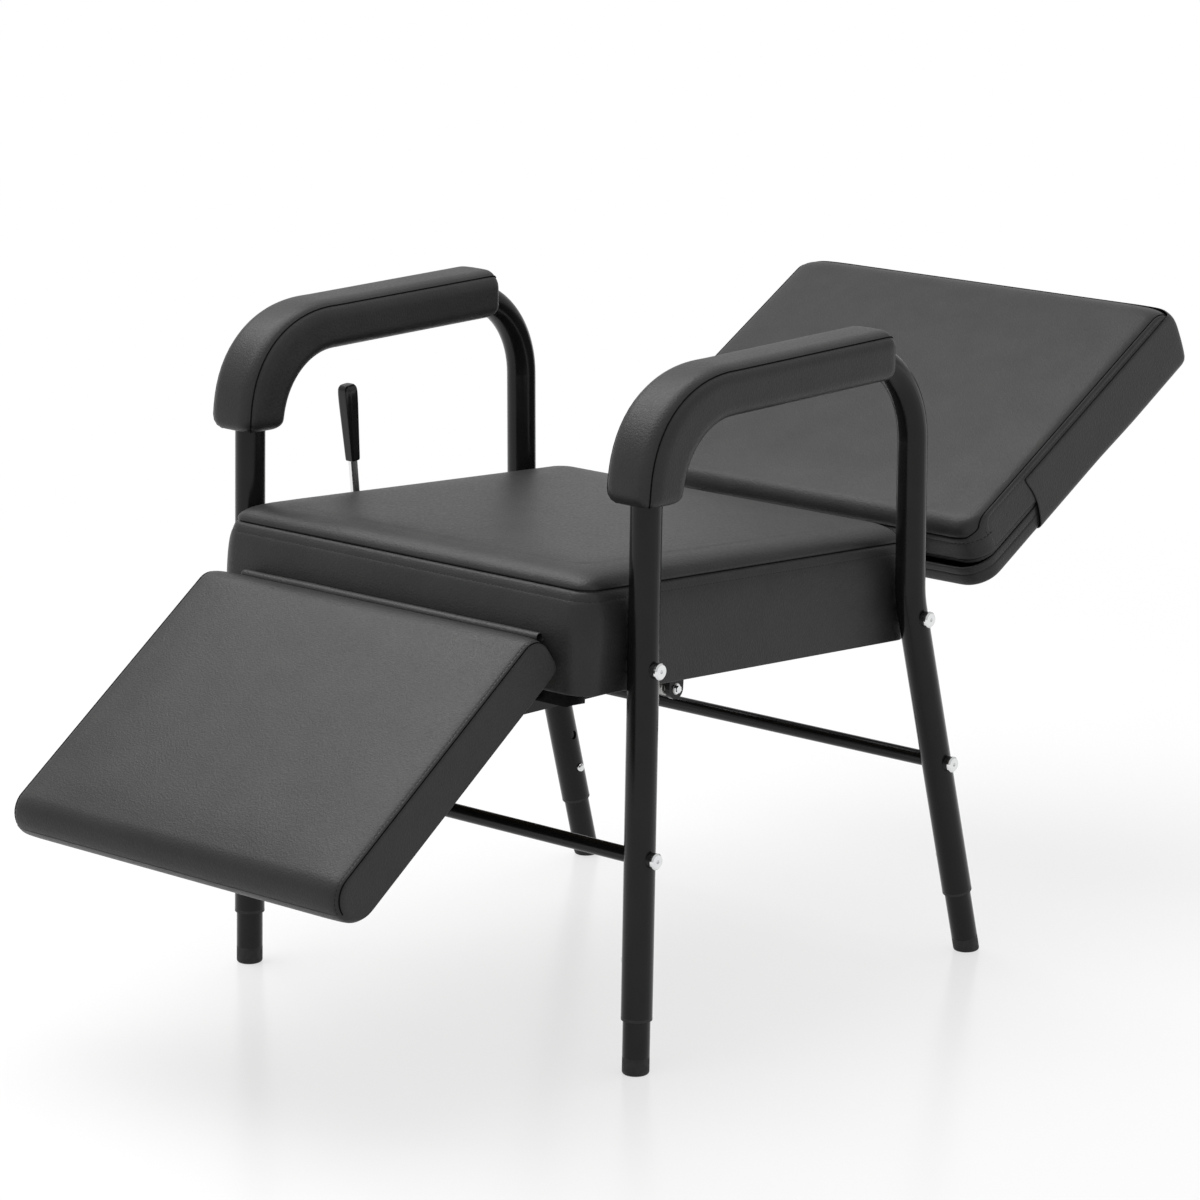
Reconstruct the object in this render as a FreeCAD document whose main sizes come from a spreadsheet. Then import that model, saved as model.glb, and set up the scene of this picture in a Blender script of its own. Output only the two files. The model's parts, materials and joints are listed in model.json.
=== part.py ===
"""Shampoo chair: bent-tube side frames, telescoping legs, reclining back and lifting legrest."""
import FreeCAD, Part
import math
import os
import Sketcher

Vector = FreeCAD.Vector

# Millimetres and degrees. X is the chair's width, the sitter faces -Y, the floor is Z = 0.
SIZES = {
    # Side frames: one bent tube each, front leg, arm and rear leg
    "frame_half": 277,
    "tube_radius": 16,
    "tube_bore": 14.5,
    "arm_z": 684,
    "front_foot_y": -291,
    "front_top_y": -273.7,
    "upright_y": 147,
    "kink_z": 415,
    "rear_foot_y": 256.8,
    "arm_bend": 100,
    "kink_bend": 120,
    # Telescoping legs, measured along each leg from the floor
    "front_collar": 60,
    "rear_collar": 77,
    "collar_thick": 3,
    "bush_length": 26,
    "inner_radius": 14,
    "inner_bore": 12.5,
    "inner_start": 18,
    "inner_end": 176,
    "plug_end": 34,
    "foot_round": 3,
    # Snap buttons on leaf springs inside the inner legs
    "snap_at": 116,
    "snap_pitch": 42,
    "snap_radius": 4.75,
    "snap_guide": 4.8,
    "snap_hole": 5.1,
    "snap_proud": 3.8,
    "snap_round": 3,
    "snap_gap": 2,
    "flange_radius": 6,
    "flange_thick": 2,
    "leaf_length": 38,
    "leaf_half": 3,
    "leaf_thick": 1,
    # Fits, and how far cutting tools run on
    "running": 0.05,
    "overcut": 5,
    "drill": 40,
    "floor_reach": 400,
    "floor_deep": 60,
    # Crossbars and frame bolts
    "bar_radius": 8,
    "bar_bore": 6.5,
    "bar_z": 225,
    "insert_length": 30,
    "bolt_radius": 4,
    "bolt_head": 8.5,
    "head_band": 2,
    "head_dome": 1.5,
    "head_slope": 1.5,
    "socket_radius": 2.2,
    "bar_bolt_in": 22,
    "seat_bolt_in": 20,
    "saddle_from": 8,
    "washer_radius": 8,
    "washer_reach": 20.5,
    "front_bolt_z": 419,
    "rear_bolt_z": 392,
    # Armrest pads round the arm tube
    "pad_half": 31,
    "pad_inside": 24,
    "pad_outside": 30,
    "pad_corner": 9,
    "pad_front_z": 586,
    "pad_rear_y": 82,
    # Seat, in its own tilted frame: origin under the middle of the cushion
    "seat_y": -88.75,
    "seat_z": 379.25,
    "seat_tilt": 4,
    "seat_half": 257,
    "seat_front": 261,
    "seat_rear": 258,
    "seat_seam": 104,
    "seat_crown": 20,
    "seat_roll": 13,
    "seat_corner": 26,
    "seat_rear_corner": 14,
    "skirt": 8,
    "rail_wide": 20,
    "rail_high": 40,
    "rail_wall": 2.5,
    "board": 12,
    "member_front": 44,
    "member_rear": 16,
    "nut_radius": 8,
    "nut_thick": 6,
    # Legrest hinge on the seat's front rail
    "hinge_rail": 14,
    "hinge_rail_deep": 30,
    "hinge_rail_half": 228,
    "lug_inner": 53,
    "lug_outer": 181,
    "lug_thick": 6,
    "lug_clear": 2,
    "barrel_radius": 5,
    "barrel_gap": 0.2,
    "barrel_inner": 62,
    "barrel_outer": 178,
    "hinge_pin": 3,
    "hinge_pin_half": 191,
    # Legrest, in a frame at its hinge axis, +Y towards the seat
    "hinge_y": -353.9,
    "hinge_z": 414.3,
    "legrest_angle": 35.1,
    "legrest_half": 230,
    "legrest_back": 10.5,
    "legrest_length": 354.8,
    "legrest_under": 5.2,
    "legrest_top": 62.2,
    "legrest_nose": 24,
    "legrest_toe": 32,
    "legrest_heel": 12,
    "legrest_edge": 9,
    "legrest_border": 22,
    "legrest_margin": 30,
    "legrest_board_top": 8,
    "plate": 3,
    "plate_half": 185,
    "plate_low": 300,
    "plate_top": 40,
    "hinge_strap_near": 70,
    "hinge_strap_far": 170,
    "link_lug_half": 12,
    "plate_screw_x": 150,
    "plate_screw_top": 80,
    "plate_screw_low": 260,
    "roll_y": 23.6,
    "roll_z": 31.9,
    "roll_radius": 6,
    "roll_wall": 1.5,
    "roll_half": 208,
    "flap_from": 20,
    # Wood screws in the three upholstered panels
    "screw_radius": 2.5,
    "screw_head": 4.5,
    "screw_head_thick": 2.5,
    "screw_bite": 5,
    # Backrest, in a frame at its pivot axis, +Y up along the back
    "pivot_y": 207,
    "pivot_z": 400,
    "back_angle": 29.15,
    "back_half": 258,
    "back_bottom": 87.6,
    "back_top": 505,
    "back_front": 25.8,
    "back_rear": 26.2,
    "back_corner": 28,
    "back_nose": 36,
    "back_crown": 10,
    "back_board": 6,
    "board_inset": 10,
    "board_corner": 20,
    "cover_deep": 27,
    "cover_wall": 4,
    "cover_corner": 32,
    "cover_top_corner": 14,
    "cover_inset": 2,
    "cover_drop": 6,
    "cover_lower": 4,
    "cover_edge": 8,
    "cover_post": 6,
    "cover_screw_x": 205,
    "cover_screw_low": 150,
    "cover_screw_high": 450,
    # Back arms, pivot tube, and the brackets that carry the pivot
    "arm_half": 160,
    "arm_half_thick": 3,
    "arm_boss": 16,
    "arm_notch": 12,
    "web_front": 14,
    "web_rear": 15,
    "web_meet": 78,
    "web_under": 72,
    "web_end": 110,
    "strap_half": 11,
    "strap_thick": 8,
    "strap_from": 4,
    "strap_top": 430,
    "arm_screw_low": 200,
    "arm_screw_pitch": 100,
    "pivot_radius": 12.5,
    "pivot_bore": 10,
    "pivot_bolt": 6,
    "pivot_bolt_in": 30,
    "pivot_bush_in": 32,
    "pivot_head": 11,
    "pivot_head_thick": 7,
    "bracket_near": 5,
    "bracket_far": 11,
    "bracket_deep": 30,
    "bracket_drop": 12,
    "bracket_boss": 15,
    "bracket_clear": 3,
    # Linkage: equal cranks at the back pivot and on the legrest, one link bar each side
    "crank_lean": 27.5,
    "crank_length": 90,
    "crank_half": 57,
    "crank_thick": 6,
    "crank_wide": 10,
    "hub_wall": 5,
    "pin_radius": 4,
    "pin_head": 7,
    "pin_head_thick": 2.5,
    "link_high": 8,
    "link_eye": 10,
    "link_thick": 5,
    "link_gap": 1,
    "link_clear": 0.4,
    # Lockable gas spring on the chair's middle plane
    "gas_crank": 60,
    "gas_crank_half": 3,
    "gas_pin_half": 10,
    "gas_z": 343.4,
    "gas_radius": 10,
    "gas_bore": 8,
    "gas_rod": 4,
    "gas_front": -62,
    "gas_rear": 150,
    "gas_gland": 12,
    "gas_end": 8,
    "piston_at": 82,
    "piston_long": 12,
    "yoke_half": 8,
    "yoke_high": 10,
    "yoke_end": 12,
    "throat_half": 4,
    "throat_deep": 17,
    "slot_half": 4.6,
    "slot_rise": 4.4,
    "head_front": -96,
    "head_rear": -80,
    "head_half": 9,
    "head_high": 10,
    "rod_in": 6,
    "release_pin": 2.5,
    "release_proud": 3,
    "anchor_pin_at": 8,
    "anchor_pin_in": 5,
    "anchor_pin_out": 15,
    "cheek_near": 9.5,
    "cheek_far": 13.5,
    "cheek_short": 2,
    # Release lever and its cross shaft
    "shaft_y": -109,
    "shaft_z": 346.4,
    "shaft_radius": 6,
    "shaft_end": 3.5,
    "shaft_washer": 5,
    "shaft_washer_thick": 1,
    "shaft_head": 4,
    "shaft_head_thick": 2.5,
    "lever_lean": 5,
    "lever_x": 275,
    "lever_rod": 5,
    "stem_from": 8,
    "hub_half": 8,
    "grip_from": 181.5,
    "grip_top": 266.5,
    "grip_low": 6.2,
    "grip_high": 9.1,
    "grip_band": 18,
    "grip_shoulder": 5,
    "grip_round": 2,
    "grip_dome": 1.5,
    "grip_deep": 30,
    "finger_wall": 4,
    "finger_half": 6,
    "finger_thick": 4,
    "finger_long": 16,
    "hanger_x": 170,
    "hanger_half": 3,
    "hanger_radius": 11,
    # Return spring round the shaft
    "coil_mean": 7.7,
    "coil_wire": 1.4,
    "coil_pitch": 2.9,
    "coil_from": 142,
    "coil_turns": 7,
}

doc = FreeCAD.newDocument("shampoo_chair")
sheet = doc.addObject("Spreadsheet::Sheet", "Dimensions")
for row, (alias, value) in enumerate(SIZES.items(), start=1):
    sheet.set(f"A{row}", alias)
    sheet.set(f"B{row}", str(value))
    sheet.setAlias(f"B{row}", alias)
doc.recompute()

TOUCH = 1e-6
SIDES = {"right": 1, "left": -1}
ENDS = ("front", "rear")


# Expressions are sums of cell names and numbers, written with spaces round + and -
def terms(expression):
    """The signed terms of a sum."""
    sign = 1
    for word in str(expression).split():
        if word in ("+", "-"):
            sign = -1 if word == "-" else 1
        elif word.startswith("-") and word[1:] in SIZES:
            yield -sign, word[1:]
        else:
            yield sign, word


def number(expression):
    """The value of a sum, from the sheet."""
    return sum(sign * float(sheet.get(word) if word in SIZES else word) for sign, word in terms(expression))


def cells(expression):
    """The same sum as a document expression."""
    return " + ".join(f"{sign} * {'Dimensions.' + word if word in SIZES else word}"
                      for sign, word in terms(expression))


def minus(expression):
    """The sum with every sign turned."""
    return " ".join(f"{'-' if sign > 0 else '+'} {word}" for sign, word in terms(expression))


def bind(thing, prop, expression):
    thing.setExpression(prop, cells(expression))


def both(side, near, far):
    """A span along X on the right side (+1), or its mirror on the left (-1)."""
    return (near, far) if side > 0 else (minus(far), minus(near))


def middle(half):
    """A span centred on zero."""
    return minus(half), half


# Frames: the turn's X direction, its angle, and the origin's Y and Z
FRONT_RAKE = "atan((Dimensions.front_top_y - Dimensions.front_foot_y) / Dimensions.arm_z)"
REAR_RAKE = "atan((Dimensions.rear_foot_y - Dimensions.upright_y) / Dimensions.kink_z)"
LINK_SLOPE = "atan((Dimensions.hinge_z - Dimensions.pivot_z) / (Dimensions.pivot_y - Dimensions.hinge_y))"
FRAMES = {
    "seat": (-1, "Dimensions.seat_tilt", "seat_y", "seat_z"),
    "legrest": (1, "Dimensions.legrest_angle", "hinge_y", "hinge_z"),
    "back": (1, "Dimensions.back_angle", "pivot_y", "pivot_z"),
    "crank": (-1, "Dimensions.crank_lean", "pivot_y", "pivot_z"),
    "lever": (1, "Dimensions.lever_lean", "shaft_y", "shaft_z"),
    "front": (-1, FRONT_RAKE, "front_foot_y", "0"),
    "rear": (1, REAR_RAKE, "rear_foot_y", "0"),
}


def place(thing, frame):
    """Set a piece that is built in a frame's own axes at that frame."""
    turn, angle, y, z = FRAMES[frame]
    thing.Placement = FreeCAD.Placement(thing.Placement.Base, FreeCAD.Rotation(Vector(turn, 0, 0), 1))
    bind(thing, "Placement.Base.y", y)
    bind(thing, "Placement.Base.z", z)
    thing.setExpression("Placement.Rotation.Angle", angle)
    return thing


def in_seat(y, z):
    """A point of the chair in the seat's tilted axes."""
    lean = math.radians(number("seat_tilt"))
    dy = number(y) - number("seat_y")
    dz = number(z) - number("seat_z")
    return dy * math.cos(lean) - dz * math.sin(lean), dy * math.sin(lean) + dz * math.cos(lean)


# Solids from primitives
TURNS = {
    "x": FreeCAD.Rotation(Vector(0, 1, 0), 90),
    "y": FreeCAD.Rotation(Vector(1, 0, 0), -90),
    "z": FreeCAD.Rotation(),
}


def box(x, y, z):
    """A block between the low and high sides."""
    block = doc.addObject("Part::Box", "block")
    for size, axis, (low, high) in (("Length", "x", x), ("Width", "y", y), ("Height", "z", z)):
        bind(block, size, f"{high} {minus(low)}")
        bind(block, f"Placement.Base.{axis}", low)
    return block


def rod(radius, axis, span, centre):
    """A round bar along X, Y or Z, with its centre given in the other two axes."""
    bar = doc.addObject("Part::Cylinder", "rod")
    bar.Placement = FreeCAD.Placement(Vector(), TURNS[axis])
    bind(bar, "Radius", radius)
    bind(bar, "Height", f"{span[1]} {minus(span[0])}")
    bind(bar, f"Placement.Base.{axis}", span[0])
    for other, value in zip([name for name in "xyz" if name != axis], centre):
        bind(bar, f"Placement.Base.{other}", value)
    return bar


def hexagon(radius, span, centre):
    """A hexagonal bar along X."""
    bar = doc.addObject("Part::Prism", "hexagon")
    bar.Polygon = 6
    bar.Placement = FreeCAD.Placement(Vector(), TURNS["x"])
    bind(bar, "Circumradius", radius)
    bind(bar, "Height", f"{span[1]} {minus(span[0])}")
    for axis, value in zip("xyz", (span[0], *centre)):
        bind(bar, f"Placement.Base.{axis}", value)
    return bar


def fuse(*pieces):
    joined = doc.addObject("Part::MultiFuse", "joined")
    joined.Shapes = list(pieces)
    return joined


def cut(base, *tools):
    left = doc.addObject("Part::Cut", "cut")
    left.Base = base
    left.Tool = tools[0] if len(tools) == 1 else fuse(*tools)
    return left


def group(*pieces):
    """Identical loose pieces that share one node."""
    held = doc.addObject("Part::Compound", "group")
    held.Links = list(pieces)
    return held


def screw(spot, low, high):
    """A wood screw along Z, with its head below the low side."""
    shank = rod("screw_radius", "z", (low, high), spot)
    head = rod("screw_head", "z", (f"{low} - screw_head_thick", low), spot)
    return fuse(shank, head)


# Solids from sketches
def sketch_on(body, plane, offset):
    """A sketch on one of the body's own planes, moved along the plane's normal."""
    sketch = body.newObject("Sketcher::SketchObject", "sketch")
    origin_plane = next(item for item in body.Origin.OriginFeatures if item.Role == plane)
    sketch.AttachmentSupport = [(origin_plane, "")]
    sketch.MapMode = "FlatFace"
    bind(sketch, "AttachmentOffset.Base.z", offset)
    return sketch


def outline(sketch, corners):
    """A closed outline of straight lines with every corner held to the sheet."""
    points = [Vector(number(x), number(y), 0) for x, y in corners]
    count = len(points)
    for index, point in enumerate(points):
        sketch.addGeometry(Part.LineSegment(point, points[(index + 1) % count]), False)
    for index in range(count):
        sketch.addConstraint(Sketcher.Constraint("Coincident", index, 2, (index + 1) % count, 1))
    for index, corner in enumerate(corners):
        for kind, axis, expression in (("DistanceX", -2, corner[0]), ("DistanceY", -1, corner[1])):
            if abs(number(expression)) < TOUCH:
                sketch.addConstraint(Sketcher.Constraint("PointOnObject", index, 1, axis))
                continue
            held = sketch.addConstraint(Sketcher.Constraint(kind, index, 1, number(expression)))
            sketch.setExpression(f"Constraints[{held}]", cells(expression))


def padded(body, sketch, span):
    """Give a sketch its thickness between two values along its normal."""
    pad = body.newObject("PartDesign::Pad", "pad")
    pad.Profile = sketch
    bind(pad, "Length", f"{span[1]} {minus(span[0])}")
    doc.recompute()
    return body


def plate(corners, span):
    """A flat plate with an outline in Y and Z, between two values of X."""
    body = doc.addObject("PartDesign::Body", "plate")
    sketch = sketch_on(body, "YZ_Plane", span[0])
    outline(sketch, corners)
    return padded(body, sketch, span)


def slab(half, y, z):
    """A block across the chair, made to be rounded."""
    body = doc.addObject("PartDesign::Body", "slab")
    sketch = sketch_on(body, "XY_Plane", z[0])
    outline(sketch, [(minus(half), y[0]), (half, y[0]), (half, y[1]), (minus(half), y[1])])
    return padded(body, sketch, z)


def turned(corners, x="0"):
    """A round piece about its own Z axis, with an outline in radius and height."""
    body = doc.addObject("PartDesign::Body", "turned")
    sketch = sketch_on(body, "XZ_Plane", "0")
    outline(sketch, corners)
    spin = body.newObject("PartDesign::Revolution", "spin")
    spin.Profile = sketch
    spin.ReferenceAxis = (sketch, ["V_Axis"])
    spin.Angle = 360
    bind(body, "Placement.Base.x", x)
    return body


def rounded(body, radius, chosen):
    """Round the edges that a test picks by their bounding boxes."""
    base = body.Tip
    names = [f"Edge{index}" for index, edge in enumerate(base.Shape.Edges, start=1) if chosen(edge.BoundBox)]
    fillet = body.newObject("PartDesign::Fillet", "fillet")
    fillet.Base = (base, names)
    bind(fillet, "Radius", radius)
    doc.recompute()
    return body


def eased(piece, radius, chosen):
    """Round the edges of a finished solid that a test picks by their bounding boxes."""
    doc.recompute()
    size = number(radius)
    soft = doc.addObject("Part::Fillet", "eased")
    soft.Base = piece
    soft.Edges = [(index, size, size) for index, edge in enumerate(piece.Shape.Edges, start=1)
                  if chosen(edge.BoundBox)]
    return soft


def upright_edge(box_of):
    return box_of.XLength < TOUCH and box_of.YLength < TOUCH


def corner_edge(y):
    """Tests for the upright edges at a given Y."""
    return lambda box_of: upright_edge(box_of) and abs(box_of.YMin - number(y)) < TOUCH


def tip_edge(x):
    """Tests for the round edge at a given distance from the chair's middle plane."""
    return lambda box_of: box_of.XLength < TOUCH and abs(abs(box_of.XMin) - number(x)) < TOUCH


def level_edge(z):
    """Tests for edges that lie level at a height."""
    return lambda box_of: box_of.ZLength < TOUCH and abs(box_of.ZMin - number(z)) < TOUCH


def across_edge(y, z):
    """Tests for the edge along X at a given Y and Z."""
    def test(box_of):
        straight = box_of.XLength > TOUCH and box_of.YLength < TOUCH and box_of.ZLength < TOUCH
        return straight and abs(box_of.YMin - number(y)) < TOUCH and abs(box_of.ZMin - number(z)) < TOUCH
    return test


def side_edge(half, above):
    """Tests for the edges of the two sides, above a height."""
    def test(box_of):
        flat = box_of.XLength < TOUCH and abs(abs(box_of.XMin) - number(half)) < TOUCH
        return flat and box_of.ZMin > number(above)
    return test


NODES = {}


def node(name, piece, frame=None):
    """Name a finished sub-part and set it in its frame."""
    if frame:
        piece = place(piece if piece.TypeId != "Part::Box" else group(piece), frame)
    piece.Label = name
    NODES[name] = piece


# Bent tubes
def bent_path(points, radii):
    """Straight runs through the points, with an arc of the given radius at each inner point."""
    edges = []
    start = points[0]
    for before, corner, after, radius in zip(points, points[1:], points[2:], radii):
        to_start = (before - corner).normalize()
        to_end = (after - corner).normalize()
        half = to_start.getAngle(to_end) / 2
        bisector = (to_start + to_end).normalize()
        enter = corner + to_start * (radius / math.tan(half))
        leave = corner + to_end * (radius / math.tan(half))
        crest = corner + bisector * (radius / math.sin(half) - radius)
        edges.append(Part.LineSegment(start, enter).toShape())
        edges.append(Part.Arc(enter, crest, leave).toShape())
        start = leave
    edges.append(Part.LineSegment(start, points[-1]).toShape())
    return Part.Wire(edges)


def swept(name, path, section):
    """A solid along a path, from a closed section that already lies across its start."""
    spine = doc.addObject("Part::Feature", f"{name}_path")
    spine.Shape = path
    solid = doc.addObject("Part::Sweep", name)
    solid.Sections = [section]
    solid.Spine = (spine, [f"Edge{index}" for index in range(1, len(path.Edges) + 1)])
    solid.Solid = True
    return solid


def ring(radius, centre, direction):
    """A circle across a path's start."""
    circle = doc.addObject("Part::Circle", "ring")
    bind(circle, "Radius", radius)
    circle.Placement = FreeCAD.Placement(centre, FreeCAD.Rotation(Vector(0, 0, 1), direction))
    return circle


def front_leg_y(z):
    return number("front_foot_y") + number("front_top_y - front_foot_y") * z / number("arm_z")


def rear_leg_y(z):
    return number("upright_y") + number("rear_foot_y - upright_y") * max(0, 1 - z / number("kink_z"))


def leg_spots(front_z, rear_z):
    """Where holes at these heights cross the two legs: Y, Z."""
    front = number(front_z)
    rear = number(rear_z)
    return [(front_leg_y(front), front), (rear_leg_y(rear), rear)]


ARM_Z = number("arm_z")
FRONT_LEAN = math.atan2(front_leg_y(ARM_Z) - front_leg_y(0), ARM_Z)
REAR_LEAN = math.atan2(rear_leg_y(0) - number("upright_y"), number("kink_z"))
COLLAR_Z = {
    "front": number("front_collar") * math.cos(FRONT_LEAN),
    "rear": number("rear_collar") * math.cos(REAR_LEAN),
}


def frame_tube(side, radius):
    """The solid of one side frame's centre line at a radius."""
    x = SIDES[side] * number("frame_half")
    points = [
        Vector(x, front_leg_y(COLLAR_Z["front"]), COLLAR_Z["front"]),
        Vector(x, number("front_top_y"), ARM_Z),
        Vector(x, number("upright_y"), ARM_Z),
        Vector(x, number("upright_y"), number("kink_z")),
        Vector(x, rear_leg_y(COLLAR_Z["rear"]), COLLAR_Z["rear"]),
    ]
    path = bent_path(points, [number("arm_bend"), number("arm_bend"), number("kink_bend")])
    return swept("frame_tube", path, ring(radius, points[0], points[1] - points[0]))


BAR_BOLTS = leg_spots("bar_z", "bar_z")
SEAT_BOLTS = leg_spots("front_bolt_z", "rear_bolt_z")
SEAT_BOLTS_TILTED = [in_seat(*spot) for spot in SEAT_BOLTS]
OUTER = {side: frame_tube(side, "tube_radius") for side in SIDES}


# Side frames and what bolts to them
def side_frame(side):
    sign = SIDES[side]
    through = both(sign, "frame_half - drill", "frame_half + drill")
    holes = [rod("bolt_radius", "x", through, spot) for spot in BAR_BOLTS + SEAT_BOLTS]
    inner_wall = both(sign, "frame_half - drill", "frame_half")
    snap_heights = ("snap_at", "snap_at + snap_pitch", "snap_at + snap_pitch + snap_pitch")
    for end in ENDS:
        row = [rod("snap_hole", "x", inner_wall, ("0", height)) for height in snap_heights]
        holes.append(place(group(*row), end))
    node(f"side_frame_{side}", cut(OUTER[side], frame_tube(side, "tube_bore"), *holes))


def crossbars():
    for end, spot in zip(ENDS, BAR_BOLTS):
        bar = rod("bar_radius", "x", middle("frame_half"), spot)
        bore = rod("bar_bore", "x", middle("frame_half"), spot)
        node(f"{end}_crossbar", cut(bar, bore, *OUTER.values()))


def bolt(sign, tip, spot):
    """A button-head bolt from outside the frame, its tip at a given X."""
    head_start = "frame_half + washer_reach"
    band_end = f"{head_start} + head_band"
    shank = rod("bolt_radius", "x", both(sign, tip, head_start), spot)
    band = rod("bolt_head", "x", both(sign, head_start, band_end), spot)
    dome = doc.addObject("Part::Cone", "dome")
    dome.Placement = FreeCAD.Placement(Vector(), FreeCAD.Rotation(Vector(0, sign, 0), 90))
    bind(dome, "Radius1", "bolt_head")
    bind(dome, "Radius2", "bolt_head - head_slope")
    bind(dome, "Height", "head_dome")
    bind(dome, "Placement.Base.x", band_end if sign > 0 else minus(band_end))
    bind(dome, "Placement.Base.y", spot[0])
    bind(dome, "Placement.Base.z", spot[1])
    socket = hexagon("socket_radius", both(sign, band_end, f"{band_end} + head_dome"), spot)
    return cut(fuse(shank, band, dome), socket)


def pierced(radius, near, far, spot, side):
    """A round piece along X, shaped to the frame's tube and drilled for its bolt."""
    span = both(SIDES[side], near, far)
    return cut(rod(radius, "x", span, spot), OUTER[side], rod("bolt_radius", "x", span, spot))


def frame_fasteners():
    bar_tip = "frame_half - tube_radius - bar_bolt_in"
    bolts = [bolt(sign, bar_tip, spot) for sign in SIDES.values() for spot in BAR_BOLTS]
    bolts += [bolt(sign, "seat_half - seat_bolt_in", spot) for sign in SIDES.values() for spot in SEAT_BOLTS]
    node("frame_bolts", group(*bolts))

    outside = ("frame_half + saddle_from", "frame_half + washer_reach")
    node("saddle_washers", group(*[pierced("washer_radius", *outside, spot, side)
                                   for side in SIDES for spot in BAR_BOLTS + SEAT_BOLTS]))
    beside_seat = ("seat_half - skirt", "frame_half - saddle_from")
    node("seat_spacers", group(*[pierced("bolt_head", *beside_seat, spot, side)
                                 for side in SIDES for spot in SEAT_BOLTS]))
    in_bar = ("frame_half - tube_radius - insert_length", "frame_half - saddle_from")
    node("crossbar_inserts", group(*[pierced("bar_bore", *in_bar, spot, side)
                                     for side in SIDES for spot in BAR_BOLTS]))


# Legs
def leg_bushes():
    slide = "inner_radius + running"
    sleeves = []
    for end in ENDS:
        collar = f"{end}_collar"
        low = f"{collar} - collar_thick"
        top = f"{collar} + bush_length"
        profile = [(slide, low), ("tube_radius", low), ("tube_radius", collar), ("tube_bore", collar),
                   ("tube_bore", top), (slide, top)]
        sleeves += [place(turned(profile, x), end) for x in middle("frame_half")]
    node("leg_bushes", group(*sleeves))


def leg(side, end):
    """One inner leg with its foot and its snap button."""
    sign = SIDES[side]
    x = "frame_half" if sign > 0 else "-frame_half"
    name = f"{end}_{side}"
    tube = turned([("inner_bore", "inner_start"), ("inner_radius", "inner_start"),
                   ("inner_radius", "inner_end"), ("inner_bore", "inner_end")], x)
    button_axis = ("0", "snap_at")
    guide = rod("snap_guide", "x", both(sign, "frame_half - drill", "frame_half"), button_axis)
    node(f"inner_leg_{name}", cut(tube, guide), end)

    plug = turned([("0", "-overcut"), ("inner_radius", "-overcut"), ("inner_radius", "inner_start"),
                   ("inner_bore", "inner_start"), ("inner_bore", "plug_end"), ("0", "plug_end")], x)
    floor = box((f"{x} - drill", f"{x} + drill"), middle("floor_reach"), ("-floor_deep", "0"))
    node(f"foot_{name}", eased(cut(place(plug, end), floor), "foot_round", level_edge("0")))

    tip = "frame_half - tube_radius - snap_proud"
    flange_near = "frame_half - inner_bore + snap_gap"
    flange_far = f"{flange_near} + flange_thick"
    stem = rod("snap_radius", "x", both(sign, tip, flange_near), button_axis)
    stem = eased(stem, "snap_round", tip_edge(tip))
    flange = rod("flange_radius", "x", both(sign, flange_near, flange_far), button_axis)
    leaf = box(both(sign, f"{flange_far} - leaf_thick", flange_far), middle("leaf_half"),
               ("snap_at", "snap_at + leaf_length"))
    node(f"snap_button_{name}", fuse(stem, flange, leaf), end)


# Armrest pads
def armrest_pad(side):
    x = SIDES[side] * number("frame_half")
    start = Vector(x, front_leg_y(number("pad_front_z")), number("pad_front_z"))
    corner = Vector(x, number("front_top_y"), ARM_Z)
    path = bent_path([start, corner, Vector(x, number("pad_rear_y"), ARM_Z)], [number("arm_bend")])
    along = (corner - start).normalize()
    across = Vector(1, 0, 0)
    outward = along.cross(across)
    half = number("pad_half")
    inside = number("pad_inside")
    outside = number("pad_outside")
    corners = [start + across * u - outward * v for u, v in
               ((-half, -inside), (half, -inside), (half, outside), (-half, outside))]
    block = Part.Face(Part.makePolygon(corners + corners[:1])).extrude(along)
    edges = [edge for edge in block.Edges if abs(edge.Length - along.Length) < TOUCH]
    soft = block.makeFillet(number("pad_corner"), edges)
    start_face = next(face for face in soft.Faces if (face.CenterOfMass - start).dot(along) < TOUCH)
    section = doc.addObject("Part::Feature", "pad_section")
    section.Shape = start_face.OuterWire
    doc.recompute()
    node(f"armrest_pad_{side}", cut(swept("pad", path, section), OUTER[side]))


# Seat
INNER_HALF = "seat_half - skirt"
INNER_FRONT = "-seat_front + skirt"
INNER_REAR = "seat_rear - skirt"


def inner_slab(z):
    """A block inside the seat cushion's skirt, with its corners rounded to match."""
    block = slab(INNER_HALF, (INNER_FRONT, INNER_REAR), z)
    rounded(block, "seat_corner - skirt", corner_edge(INNER_FRONT))
    return rounded(block, "seat_rear_corner - skirt", corner_edge(INNER_REAR))


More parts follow.
